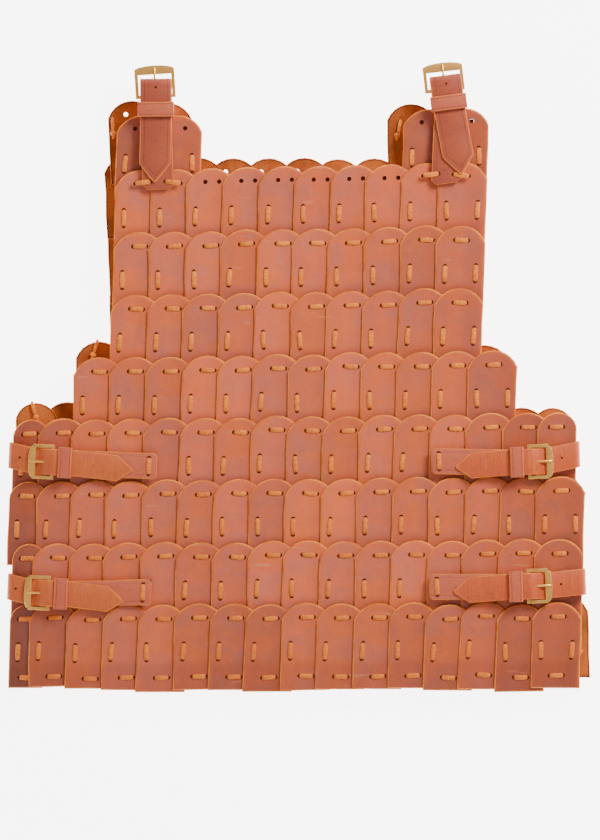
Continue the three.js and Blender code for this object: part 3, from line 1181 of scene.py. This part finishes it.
    def hole(self) -> bpy.types.Object:
        """Models the hole that a lace fills as a small dark disc a hair over the leather: painted shade of the
        hole.
        """
        Bench.clear()
        bpy.ops.mesh.primitive_circle_add(vertices=12, radius=2.1 * MM, fill_type="NGON", location=(0, 0, 0))
        piece = bpy.context.object
        piece.name = "hole_pattern"
        Bench.edit(piece)
        bpy.ops.mesh.select_all(action="SELECT")
        bpy.ops.mesh.inset(thickness=0.4 * MM, depth=0)
        bpy.ops.transform.translate(value=(0, 0, 0.08 * MM))
        Bench.close()
        return piece


@dataclass(frozen=True)
class Stitch:
    """Where a stitch sits on a scale: the middle's place, and whether it runs up the scale."""

    across: float
    along: float
    upright: bool


@dataclass(frozen=True)
class LaceEnd:
    """A knot on a scale's flesh side: the scale, the place on it in millimetres and its turn in degrees."""

    row: str
    column: int
    across: float
    along: float
    turn: float


LACE_ENDS = (
    LaceEnd("shoulder_left", 3, 4.8, 49.5, -4.0),
    LaceEnd("shoulder_right", 11, 9.4, 50.3, -19.0),
    LaceEnd("row_4", 2, 16.5, 67.8, -24.0),
    LaceEnd("row_5", 0, 20.0, 67.0, 8.0),
    LaceEnd("row_8", 15, 38.4, 25.0, -10.0),
)


@dataclass
class Panel:
    """One panel of the armour: rows of laced scales."""

    plan: PanelPlan
    rows: tuple[RowPlan, ...] = ROWS
    cut: ScaleCut = SCALE
    chance: random.Random = field(default_factory=lambda: random.Random(1))

    def place(self, row: RowPlan, column: int, turn: float, slip: tuple[float, float]) -> tuple[Matrix, float]:
        """Works out where a scale lies.

        Args:
            row: its row.
            column: its column.
            turn: a small turn of its own, in degrees.
            slip: a small shift of its own, in millimetres.

        Returns:
            The matrix from the flat scale to its place, and the width missing from its left.
        """
        plan = self.plan
        front = plan.side is Side.FRONT
        rise = plan.shoulder_rise if row.level == 0 else (1 - row.level) * plan.row_pitch
        tilt = row.tilt if front else BACK_TILT
        outermost = row.level >= LONG_LEVEL and column == 0
        missing = plan.pitch - (row.edge if front else BACK_EDGE) if outermost else 0.0
        slope = STEP / plan.pitch
        start = plan.middle[0] + (column - 8) * plan.pitch + missing + slip[0]
        if not front:
            start += row.back_shift
        foot = plan.crown + rise - self.cut.height + slip[1] + (0.4 if column % 2 else 0.0)
        sink = plan.shoulder_sink if row.level == 0 else 0.0
        up = plan.row_step / plan.row_pitch
        across_out, start_out = -slope, STEP - slope * missing
        base_y = foot + tilt * start
        x_shear = 1 + plan.lean * tilt
        out = start_out - sink
        sign = 1.0 if front else -1.0
        level = plan.plane + sign * out
        matrix = Matrix(
            (
                (x_shear, plan.lean, 0, (start + plan.lean * (base_y - plan.middle[1]) + CENTRE_SHIFT[0]) * MM),
                (tilt, 1, 0, (base_y + CENTRE_SHIFT[1]) * MM),
                (sign * across_out, sign * up, sign, level * MM),
                (0, 0, 0, 1),
            )
        )
        pivot = Matrix.Translation((self.cut.width / 2 * MM, self.cut.height / 2 * MM, 0))
        return matrix @ pivot @ spin_z(turn) @ pivot.inverted(), missing

    def stitches(self, row: RowPlan, width: float, last: bool) -> list[Stitch]:
        """Lists the stitches that show on a scale's grain side.

        Args:
            row: its row.
            width: its width.
            last: whether it ends its row.

        Returns:
            The stitches.
        """
        side = self.cut.height - 46
        made = [Stitch(9.2, side, True)]
        if last:
            made.append(Stitch(width - 8.6, side, True))
        if row.level > 1:
            middle = width / 2 + (1.0 if width == self.cut.width else -1.2)
            made.append(Stitch(middle, self.cut.height - 14, False))
        if row.level == LAST_LEVEL:
            made.append(Stitch(width / 2 + 1.0, 10.0, False))
        return made

    def open_holes(self, row: RowPlan, column: int) -> tuple[tuple[float, float], ...]:
        """Lists a scale's holes that have no lace in them.

        Args:
            row: its row.
            column: its place in the row.

        Returns:
            Each hole's place across and along.
        """
        high = self.cut.height - 13.2
        if self.plan.side is Side.BACK:
            if row.level == 0:
                return ((17.0, high),) if row.name == "shoulder_left" and column == row.first else ()
            return ((16.0, high), (31.4, high)) if row.level == 1 else ()
        if row.level == 0:
            return ((18.0 if column == row.first else 31.0, self.cut.height - 12.5),)
        if row.level == 1 and 5 <= column <= 10:
            return ((18.2, high), (31.4, high))
        return ()

    def tone_and_shade_of(self, row: RowPlan, column: int) -> float:
        """Picks a scale's tone at random, with painted shade on the side columns and the hem, which lie in less
        light; the shoulder rows and the columns right of the middle are made darker too.

        Args:
            row: its row.
            column: its place in the row.

        Returns:
            The tone, 0 to 1 in the middle of the panel.
        """
        tone_and_shade = self.chance.uniform(0.0, 1.0)
        # Painted shade: the two outer columns of the long rows fold away from the light and are darker.
        if row.level >= LONG_LEVEL and self.plan.side is Side.FRONT:
            tone_and_shade = {0: 0.35 * tone_and_shade - 1.4, 1: tone_and_shade - 0.65}.get(column, tone_and_shade)
        # Painted shade: darker towards the right of the panel.
        if self.plan.side is Side.FRONT and row.level >= LONG_LEVEL - 1:
            tone_and_shade -= (0.2 if row.level == LAST_LEVEL else 0.5) * max(0, column - 12)
        elif self.plan.side is Side.FRONT and row.level > 1:
            tone_and_shade -= 0.2 * max(0, column - 7)
        # The shoulder rows are made darker, and the hem gets painted shade.
        if row.level == 0:
            tone_and_shade -= 1.15
        return tone_and_shade - (0.6 if row.level == LAST_LEVEL else 0.0)

    def lace_scale(
        self,
        row: RowPlan,
        width: float,
        last: bool,
        matrix: Matrix,
        stock: "LaceStock",
        droop: tuple[float, float] | None,
    ) -> tuple[list[bpy.types.Object], list[bpy.types.Object]]:
        """Puts the stitches on one scale.

        Args:
            row: its row.
            width: its width.
            last: whether it ends its row.
            matrix: its place.
            stock: the stitches and the hole to copy.
            droop: how it is folded down, if it is.

        Returns:
            The laces, and the dark discs of painted shade in the holes that they go through.
        """
        laces, holes = [], []
        for stitch in self.stitches(row, width, last):
            source, long = stock.pick(stitch.upright)
            skew = self.chance.uniform(-4, 4)
            height = stock.pattern.crown_at(stitch.across, width)
            bent = stock.pattern.hang(*droop) if droop and stitch.across < droop[0] else Matrix.Identity(4)
            there = matrix @ bent @ Matrix.Translation((stitch.across * MM, stitch.along * MM, height * MM))
            aim = there @ spin_z((90 if stitch.upright else 0) + skew)
            lace = Bench.copy(source, "lace", aim)
            # Painted shade: laces get darker row by row below the third row.
            Bench.tag(lace, "tone_and_shade", self.chance.uniform(0.0, 0.6) + 0.09 * max(0, row.level - 3))
            laces.append(lace)
            # A dark disc at each end of the stitch: painted shade of its hole.
            for end in (-1, 1):
                at = aim @ Matrix.Translation((end * (long / 2 - 0.5) * MM, 0, 0.1 * MM))
                holes.append(Bench.copy(stock.hole, "hole", at))
        return laces, holes

    def build(self, pattern: ScalePattern, stock: "LaceStock") -> list[bpy.types.Object]:
        """Models and dresses every row.

        Args:
            pattern: cuts the scales.
            stock: the stitches and the hole to copy.

        Returns:
            The rows' pieces, scales and lacing.
        """
        wardrobe = pattern.wardrobe
        plain = [pattern.scale() for _ in range(4)]
        long = [pattern.scale(hem=LONG_HEM + 0.8 * i) for i in range(3)]
        front = self.plan.side is Side.FRONT
        made: list[bpy.types.Object] = []
        for row in self.rows:
            scales, laces, holes = [], [], []
            for column in range(row.first, row.first + row.count):
                last = column == row.first + row.count - 1
                outermost = row.level >= LONG_LEVEL and column == 0
                turn = self.chance.uniform(-0.85, 0.85)
                loose = 1.4 if row.level == LAST_LEVEL else 0.9
                slip = (self.chance.uniform(-0.7, 0.7), self.chance.uniform(-loose, loose))
                if outermost or last:
                    turn, slip = turn * 0.4, (0.0, slip[1] * 0.4)
                elif column == row.first + 1 and front:
                    slip = (row.second, slip[1])
                matrix, missing = self.place(row, column, turn, slip)
                narrowed = (row.last if front else row.back_last) if last else None
                width = narrowed or self.cut.width - missing
                droop = None
                if outermost and front:
                    droop = (row.edge, SIDE_DROP + STEP * row.edge / self.plan.pitch)
                open_holes = self.open_holes(row, column)
                special = width != self.cut.width or bool(open_holes)
                stack = long if front and row.level == LAST_LEVEL and column > 2 else plain
                template = pattern.scale(width, droop, open_holes) if special else self.chance.choice(stack)
                scale = Bench.copy(template, "scale", matrix)
                Bench.tag(scale, "tone_and_shade", self.tone_and_shade_of(row, column))
                ruddy = 0.45 if column >= 11 else 1.0
                Bench.tag(scale, "hue", self.chance.betavariate(1.2, 1.6) * ruddy)
                scales.append(scale)
                if special:
                    Bench.bin(template)
                if front:
                    # A dark disc near the bottom of each open hole: painted shade seen through it.
                    shade_disc_places = [matrix @ Matrix.Translation((x * MM, y * MM, 0.5 * MM)) for x, y in open_holes]
                    holes += [Bench.copy(stock.hole, "hole", shade_disc_place) for shade_disc_place in shade_disc_places]
                laced, hole_shade_discs = self.lace_scale(row, width, last, matrix, stock, droop)
                laces += laced
                holes += hole_shade_discs
            name = f"{self.plan.name}_{row.name}"
            skin = Bench.join(f"{name}_scales", scales)
            Bench.smooth(skin, 22)
            seat(skin, name)
            row.count * self.cut.area
            lacing = Bench.join(f"{name}_lacing", laces)
            dress(lacing, wardrobe.lace)
            Bench.smooth(lacing, 60)
            seat(lacing)
            # The dark discs are painted shade in the holes.
            hole_shades = Bench.join(f"{name}_holes", holes)
            dress(hole_shades, wardrobe.hole)
            seat(hole_shades)
            made += [skin, lacing, hole_shades]
            log.info("%s: %d scales, %d stitches", name, len(scales), len(laces))
        Bench.bin(*plain, *long)
        if not front:
            made.append(self.tie_off(pattern))
        return made

    def tie_off(self, pattern: ScalePattern) -> bpy.types.Object:
        """Ties the lace ends that show on the panel's flesh side.

        Args:
            pattern: what models a knot.

        Returns:
            The knots, as one piece.
        """
        bead = pattern.knot()
        rows = {row.name: row for row in self.rows}
        knots = []
        for end in LACE_ENDS:
            matrix, _ = self.place(rows[end.row], end.column, 0.0, (0.0, 0.0))
            there = matrix @ Matrix.Translation((end.across * MM, end.along * MM, 0)) @ spin_z(end.turn)
            knot = Bench.copy(bead, "knot", there @ Matrix.Scale(-1, 4, (0, 0, 1)))
            Bench.tag(knot, "tone_and_shade", self.chance.uniform(0.2, 0.9))
            knots.append(knot)
        Bench.bin(bead)
        tied = Bench.join(f"{self.plan.name}_lace_ends", knots)
        dress(tied, pattern.wardrobe.lace)
        Bench.smooth(tied, 60)
        seat(tied)
        return tied


@dataclass
class LaceStock:
    """The stitches and the hole that the rows copy."""

    pattern: ScalePattern
    crown_stitch: float = 13.6
    side_stitch: float = 16.4

    def __post_init__(self) -> None:
        """Models one of each."""
        self.level = self.pattern.stitch(self.crown_stitch)
        self.upright = self.pattern.stitch(self.side_stitch)
        self.hole = self.pattern.hole()

    def pick(self, upright: bool) -> tuple[bpy.types.Object, float]:
        """The stitch for an upright or a level place, and its length."""
        return (self.upright, self.side_stitch) if upright else (self.level, self.crown_stitch)

    def put_away(self) -> None:
        """Removes the pieces that were only copied from."""
        Bench.bin(self.level, self.upright, self.hole)


# Straps and buckles


@dataclass
class StrapSet:
    """A billet, a buckle strap, a keeper, a brass frame and its prong."""

    plan: StrapPlan
    wardrobe: Wardrobe

    @property
    def half(self) -> float:
        """Half the strap's width."""
        return self.plan.width / 2

    def home(self) -> Matrix:
        """The matrix from the heel bar's own axes to the armour."""
        x, y = self.plan.bar
        middle = Matrix.Translation(((x + CENTRE_SHIFT[0]) * MM, (y + CENTRE_SHIFT[1]) * MM, 0))
        return middle @ spin_z(self.plan.turn)

    def about_bar(self) -> Matrix:
        """The buckle's small turn about its heel bar, and its slip along it."""
        return Matrix.Translation((0, self.plan.frame_slip * MM, 0)) @ spin_z(self.plan.frame_turn)

    def settle(self, piece: bpy.types.Object, bend: float = 0.0) -> None:
        """Swings what lies past the keeper and before the buckle, and sets piece in its place.

        Args:
            piece: the piece, modelled along the x axis.
            bend: how far it swings past the keeper, in degrees; 0 leaves all of it straight.
        """
        if bend:
            after, before = math.tan(math.radians(bend)), math.tan(math.radians(self.plan.fold_bend))
            Bench.edit(piece)
            places = sorted({round(v.co.x, 6) for v in bmesh.from_edit_mesh(piece.data).verts})
            for place in places:
                past = max(0.0, place - KEEPER_SIDE * MM) * after
                back = max(0.0, BUCKLE_SIDE * MM - place) * before
                if past or back:
                    Bench.pick(piece, lambda co, x=place: abs(co.x - x) < 1.2e-6)
                    bpy.ops.transform.translate(value=(0, past + back, 0))
            Bench.close()
        piece.data.transform(self.home())

    def cut_strip(
        self, name: str, stations: Sequence[Station], hide: bpy.types.Material, thickness: float = STRAP
    ) -> bpy.types.Object:
        """Makes a strap of leather with rounded edges.

        Args:
            name: the strap's name.
            stations: its middle line.
            hide: its grain side.
            thickness: of the leather, in millimetres.

        Returns:
            The strap, grain side up where it runs to the right.
        """
        piece = Bench.strip(name, stations)
        dress(piece, hide, self.wardrobe.edge, self.wardrobe.flesh)
        Bench.apply(
            piece,
            "SOLIDIFY",
            thickness=thickness * MM,
            offset=0.0,
            use_even_offset=True,
            material_offset=2,
            material_offset_rim=1,
        )
        Bench.apply(
            piece,
            "BEVEL",
            width=0.5 * MM,
            segments=2,
            limit_method="ANGLE",
            angle_limit=math.radians(70),
            material=1,
        )
        return piece

    def hide(self, point: float) -> bpy.types.Material:
        """Makes the billet's leather, worn round its point.

        Args:
            point: how far along the billet its point lies, in millimetres.

        Returns:
            The material.
        """
        name = f"{self.plan.name}_leather"
        tones = WEAR_TONES[self.plan.wear]
        if self.plan.loose:
            return StrapLeather(name, self.half, *tones, crease_depth=0.5, point=point).make()
        return StrapLeather(name, self.half, *tones, crease_depth=0.0, scuffed=True, point=point).make()

    def chape_hide(self) -> bpy.types.Material:
        """The buckle strap's own leather, less handled and redder."""
        name = f"{self.plan.name}_chape_leather"
        tones = WEAR_TONES[Wear.COCOA if self.plan.loose else Wear.PLUM]
        return StrapLeather(name, self.half, *tones, crease_depth=0.35).make()

    def billet(self) -> bpy.types.Object:
        """The pointed strap, from underneath, round the edge and through the buckle."""
        plan, low, half = self.plan, STRAP / 2, self.half
        over_bar = SEAT + 2 * LOOP_RADIUS + SEAM + low
        top = over_bar if plan.loose else SEAT + low
        edge, radius = plan.fold + low, 5.0

        def corner(middle: float, start: float) -> list[Station]:
            """A quarter turn of the fold."""
            angles = [start - math.pi / 2 * i / 5 for i in range(6)]
            return [(edge + radius * (1 + math.cos(a)), middle + radius * math.sin(a), half) for a in angles]

        stations = [(plan.reach, low, half), (KEEPER_SIDE, low, half), (0.0, low, half)]
        if not plan.loose:
            stations.append((BUCKLE_SIDE, low, half))
        stations += corner(low + radius, -math.pi / 2)
        stations += corner(top - radius, -math.pi)
        if not plan.loose:
            stations += [(BUCKLE_SIDE, SEAT + low, half)]
            stations += [(-13.5, SEAT + low + 1.2, half), (-5.0, over_bar - 0.7, half)]
        on = SEAT + 2 * STRAP + 2 * SEAM + low
        flat = SEAT + STRAP + SEAM + low
        stations += [
            (-2.0, over_bar, half),
            (2.5, over_bar, half),
            (10.0, (over_bar + on) / 2 - 0.3, half),
            (16.0, on, half),
            (KEEPER_SIDE, on, half),
            (27.0, on, half),
            (38.0, flat, half),
        ]
        point = plan.tip - 0.6 * plan.width
        stations += [(point - 12, flat, half), (point, flat, half)]
        stations += [(plan.tip - 1.2, flat, 2.2), (plan.tip, flat, 1.0)]
        steps = zip(stations, stations[1:])
        run = sum(math.hypot(x1 - x0, z1 - z0) for (x0, z0, _), (x1, z1, _) in steps)
        return self.cut_strip(f"{plan.name}_billet_leather", stations, self.hide(run))

    def buckle_strap(self) -> bpy.types.Object:
        """The strap that is folded round the heel bar and laced at its far end."""
        plan, half = self.plan, self.half
        bar = SEAT + LOOP_RADIUS
        loop = LOOP_RADIUS - STRAP / 2
        low = SEAT + STRAP / 2
        ply = low + STRAP + SEAM
        back = [math.pi / 2 + math.pi * i / 10 for i in range(11)]
        stations = [(24.6, ply, half), (KEEPER_SIDE, ply, half), (14.0, ply, half)]
        stations += [(7.0, (ply + bar + loop) / 2, half)]
        stations += [(loop * math.cos(a), bar + loop * math.sin(a), half) for a in back]
        stations += [(12.0, low, half), (KEEPER_SIDE, low, half), (30.0, low, half)]
        if plan.loose:
            stations += [(plan.end - 5, low, half), (plan.end, low, half - 5)]
        else:
            ends = [(4.2, 0.0), (2.4, 0.5), (1.0, 1.7), (0.2, 3.4)]
            stations += [(plan.end - back_off, low, half - nip) for back_off, nip in ends]
        return self.cut_strip(f"{plan.name}_buckle_strap_leather", stations, self.chape_hide())

    def keeper(self) -> bpy.types.Object:
        """The loop of leather round both straps."""
        plan = self.plan
        inner = self.half + 0.5
        outer, bottom, top = inner + 1.8, SEAT - 1.3, SEAT + 11.2
        length = 14.4 if plan.loose else 13.0
        Bench.clear()
        bpy.ops.mesh.primitive_cube_add(size=1, location=(0, 0, 0))
        piece = bpy.context.object
        piece.name = f"{plan.name}_keeper_leather"
        Bench.edit(piece)
        bpy.ops.mesh.select_all(action="SELECT")
        block = (length * MM, 2 * outer * MM, (top - bottom) * MM)
        bpy.ops.transform.resize(value=block, center_override=(0, 0, 0))
        bpy.ops.transform.translate(value=((5 + length / 2) * MM, 0, (top + bottom) / 2 * MM))
        for direction in (-1, 1):
            Bench.pick_faces(piece, lambda _, normal, d=direction: normal.x * d > 0.9)
            bpy.ops.mesh.inset(thickness=1.5 * MM, depth=0)
        Bench.pick_faces(piece, lambda middle, normal: abs(normal.x) > 0.9 and abs(middle.y) < 0.1 * MM
                         and abs(middle.z - (top + bottom) / 2 * MM) < 0.1 * MM)
        bpy.ops.mesh.bridge_edge_loops()
        bpy.ops.mesh.select_all(action="SELECT")
        bpy.ops.mesh.normals_make_consistent(inside=False)
        Bench.close()
        Bench.lay_out(piece, lambda co: (co.y / MM / 100, (co.x / MM - 5 - length / 2) / 100))
        Bench.apply(
            piece, "BEVEL", width=1.1 * MM, segments=3, limit_method="ANGLE", angle_limit=math.radians(60)
        )
        return piece

    def buckle_frame(self) -> bpy.types.Object:
        """The bowed brass frame, with its heel bar."""
        plan = self.plan
        bar = SEAT + LOOP_RADIUS
        inner = self.half + 0.9
        outer = inner + 3.3
        far = plan.far
        corner, bow_in = (1.2, 1.2) if plan.loose else (2.6, 4.1)
        Bench.clear()
        bpy.ops.mesh.primitive_cube_add(size=1, location=(0, 0, 0))
        piece = bpy.context.object
        piece.name = f"{plan.name}_buckle_frame_brass"
        long = BAR_RADIUS - far
        Bench.edit(piece)
        bpy.ops.mesh.select_all(action="SELECT")
        bpy.ops.transform.resize(value=(long * MM, 2 * outer * MM, 2.9 * MM), center_override=(0, 0, 0))
        bpy.ops.transform.translate(value=((BAR_RADIUS + far) / 2 * MM, 0, bar * MM))
        for direction in (-1, 1):
            Bench.pick_faces(piece, lambda _, normal, d=direction: normal.z * d > 0.9)
            bpy.ops.mesh.inset(thickness=3.2 * MM, depth=0)
        Bench.pick_faces(
            piece, lambda middle, normal: abs(normal.z) > 0.9 and abs(middle.y) < 0.1 * MM
            and abs(middle.x - (BAR_RADIUS + far) / 2 * MM) < 0.1 * MM
        )
        bpy.ops.mesh.bridge_edge_loops()
        bpy.ops.mesh.select_mode(type="VERT")
        window = far + (7.6 if plan.loose else 8.7)
        Bench.pick(piece, lambda co: far * MM + 1 * MM < co.x < (far + 5) * MM)
        bpy.ops.transform.translate(value=((window - far - 3.2) * MM, 0, 0))
        for cut in (-0.94, -0.84, -0.7, -0.36, 0.0, 0.36, 0.7, 0.84, 0.94):
            bpy.ops.mesh.select_all(action="SELECT")
            bpy.ops.mesh.bisect(plane_co=(0, cut * outer * MM, 0), plane_no=(0, 1, 0), threshold=1e-7)
        places = sorted({round(v.co.y, 6) for v in bmesh.from_edit_mesh(piece.data).verts})
        for place in places:
            out = abs(place / MM / outer)
            bow = -2.4 * (1 - out**2) + bow_in + corner * max(0.0, (out - 0.7) / 0.3) ** 2
            Bench.pick(piece, lambda co, place=place: abs(co.y - place) < 2e-6 and co.x < (far + 1) * MM)
            bpy.ops.transform.translate(value=(bow * MM, 0, 0))
        bpy.ops.mesh.select_all(action="SELECT")
        bpy.ops.mesh.normals_make_consistent(inside=False)
        Bench.close()
        Bench.apply(
            piece, "BEVEL", width=0.95 * MM, segments=3, limit_method="ANGLE", angle_limit=math.radians(50)
        )
        return piece

    def prong(self) -> bpy.types.Object:
        """The prong: looped round the bar, its tip lying on the far end."""
        plan = self.plan
        bar = SEAT + LOOP_RADIUS
        tip = plan.far + (0.5 if plan.loose else 2.8)
        ring = BAR_RADIUS + 0.9
        stations = [
            (ring * math.cos(a), bar + ring * math.sin(a), 1.25)
            for a in [math.radians(-200 + 30 * i) for i in range(10)]
        ]
        stations += [(-4.0, bar + 2.4, 1.2), (-16.0, bar + 2.3, 1.1)]
        stations += [(tip + 2, bar + 2.0, 1.0), (tip, bar + 1.3, 0.8)]
        piece = Bench.strip(f"{plan.name}_buckle_prong_brass", stations)
        Bench.apply(piece, "SOLIDIFY", thickness=1.6 * MM, offset=0.0)
        Bench.apply(
            piece, "BEVEL", width=0.6 * MM, segments=2, limit_method="ANGLE", angle_limit=math.radians(60)
        )
        return piece

    def lacing(self, pattern: ScalePattern, chance: random.Random) -> list[bpy.types.Object]:
        """The stitches that hold the buckle strap's far end, with dark discs of painted shade for their holes
        and the prong's spare hole.

        Args:
            pattern: what models a stitch and a hole.
            chance: what picks how dark each lace is.

        Returns:
            The pieces.
        """
        plan, half = self.plan, self.half
        top = SEAT + STRAP
        long = 15.5 if plan.loose else 16.4
        upright = pattern.stitch(long)
        hole = pattern.hole()
        along = plan.end - plan.laced_in
        swing = math.tan(math.radians(plan.strap_bend)) * (along - KEEPER_SIDE)
        spots = [(along, swing, 90.0)]
        if plan.loose:
            spots = [
                (along + 0.6 - back, swing + side * (half - 0.6), 90.0 - side * 7 + plan.lace_turn)
                for side, back in zip((-1, 1), plan.lace_back)
            ]
        laces, holes = [], []
        for x, y, turn in spots:
            aim = self.home() @ Matrix.Translation((x * MM, y * MM, top * MM)) @ spin_z(turn)
            lace = Bench.copy(upright, "lace", aim)
            Bench.tag(lace, "tone_and_shade", chance.uniform(0.0, 0.6))
            laces.append(lace)
            # A dark disc at each end of the stitch: painted shade of its hole.
            for end in (-1, 1):
                at = aim @ Matrix.Translation((end * (long / 2 - 0.4) * MM, 0, 0.06 * MM))
                holes.append(Bench.copy(hole, "hole", at))
        # The prong's spare hole: a smaller dark disc of painted shade.
        spare, height = -32.0, SEAT + STRAP
        if plan.loose:
            spare, height = plan.fold + 8.5, SEAT + 2 * LOOP_RADIUS + SEAM + STRAP
        aside = math.tan(math.radians(plan.fold_bend)) * max(0.0, BUCKLE_SIDE - spare)
        at = self.home() @ Matrix.Translation((spare * MM, aside * MM, (height + 0.08) * MM))
        holes.append(Bench.copy(hole, "hole", at @ Matrix.Scale(0.55, 4)))
        lace = Bench.join(f"{plan.name}_strap_lacing", laces)
        dress(lace, self.wardrobe.lace)
        Bench.smooth(lace, 60)
        hole_shades = Bench.join(f"{plan.name}_strap_holes", holes)
        dress(hole_shades, self.wardrobe.hole)
        for piece in (lace, hole_shades):
            seat(piece)
        Bench.bin(upright, hole)
        return [lace, hole_shades]

    def build(self, pattern: ScalePattern, chance: random.Random) -> list[bpy.types.Object]:
        """Models and dresses the strap set.

        Args:
            pattern: the stitch and hole patterns.
            chance: seeded chance.

        Returns:
            Its pieces.
        """
        plan = self.plan
        keeper_leather = StrapLeather(
            f"{plan.name}_keeper_hide",
            7.2 if plan.loose else 6.5,
            *WEAR_TONES[Wear.PLUM],
            crease=2.2,
            crease_depth=0.6,
        ).make()
        billet, chape = self.billet(), self.buckle_strap()
        rises = 35.0  # what the billet's ups and downs add to its level length
        billet_length = plan.reach - 2 * plan.fold + plan.tip + rises
        for piece, node, bend, flat in (
            (billet, "billet", plan.billet_bend, (plan.width * MM, billet_length * MM)),
            (chape, "buckle_strap", plan.strap_bend, (plan.width * MM, (plan.end + 36) * MM)),
        ):
            self.settle(piece, bend)
            Bench.smooth(piece, 35)
            seat(piece, f"{plan.name}_{node}")
        keeper = self.keeper()
        self.settle(keeper)
        dress(keeper, keeper_leather)
        Bench.smooth(keeper, 40)
        seat(keeper, f"{plan.name}_keeper")
        brass = []
        for piece, node in ((self.buckle_frame(), "buckle_frame"), (self.prong(), "buckle_prong")):
            piece.data.transform(self.about_bar())
            self.settle(piece)
            dress(piece, self.wardrobe.brass)
            Bench.smooth(piece, 40)
            seat(piece, f"{plan.name}_{node}")
            brass.append(piece)
        made = [billet, chape, keeper, *brass, *self.lacing(pattern, chance)]
        log.info("%s: %d pieces", plan.name, len(made))
        return made


# Studio


@dataclass
class Studio:
    """The camera over the armour, the table under it and the light."""

    view_centre: tuple[float, float] = (1.5, -42.2)
    view_height: float = 806.4
    level: float = 26.0
    distance: float = 8.0

    def camera(self) -> None:
        """Sets the camera straight over the armour, with the photograph's framing."""
        data = bpy.data.cameras.new("camera")
        data.lens = data.sensor_width * (self.distance - self.level * MM) / (self.view_height * MM)
        data.clip_end = 20
        made = bpy.data.objects.new("camera", data)
        made.location = (self.view_centre[0] * MM, self.view_centre[1] * MM, self.distance)
        bpy.context.scene.collection.objects.link(made)
        bpy.context.scene.camera = made

    def table(self, wardrobe: Wardrobe) -> None:
        """Lays the pale surface under the armour.

        Args:
            wardrobe: the finishes.
        """
        Bench.clear()
        bpy.ops.mesh.primitive_plane_add(size=8, location=(0, 0, 0))
        bpy.ops.transform.translate(value=(0, 0, -0.2 * MM))
        bpy.ops.object.transform_apply(location=True)
        made = bpy.context.object
        made.name = "table"
        dress(made, wardrobe.table)

    def lamp(self, name: str, place: Colour, size: float, power: float, tint: Colour) -> None:
        """Hangs a square soft light that faces the armour.

        Args:
            name: its name.
            place: where it hangs, in metres.
            size: its side in metres.
            power: its watts.
            tint: its colour.
        """
        data = bpy.data.lights.new(name, "AREA")
        data.size = size
        data.energy = power
        data.color = tint
        made = bpy.data.objects.new(name, data)
        made.location = place
        made.rotation_euler = (-Vector(place)).to_track_quat("-Z", "Y").to_euler()
        bpy.context.scene.collection.objects.link(made)

    def light(self) -> None:
        """Lights the armour softly from the upper right."""
        self.lamp("key", (1.3, 1.4, 1.6), 0.9, 82.0, (1.0, 0.98, 0.95))
        self.lamp("fill", (-0.6, -1.6, 2.0), 2.0, 16.0, (0.98, 0.99, 1.0))
        world = bpy.data.worlds.new("studio")
        world.use_nodes = True
        background = world.node_tree.nodes["Background"]
        background.inputs[0].default_value = (1.0, 1.0, 1.0, 1.0)
        background.inputs[1].default_value = 0.5
        bpy.context.scene.world = world


def main() -> None:
    """Builds the armour and its studio in order."""
    logging.basicConfig(level=logging.INFO, format="%(message)s")
    studio = Studio()
    studio.camera()
    wardrobe = Wardrobe()
    pattern = ScalePattern(wardrobe)
    stock = LaceStock(pattern)
    for plan in (BACK, FRONT):
        Panel(plan, chance=random.Random(plan.seed)).build(pattern, stock)
    stock.put_away()
    chance = random.Random(5)
    for plan in STRAPS:
        StrapSet(plan, wardrobe).build(pattern, chance)
    studio.table(wardrobe)
    studio.light()
    Bench.clear()


if __name__ == "__main__":
    main()
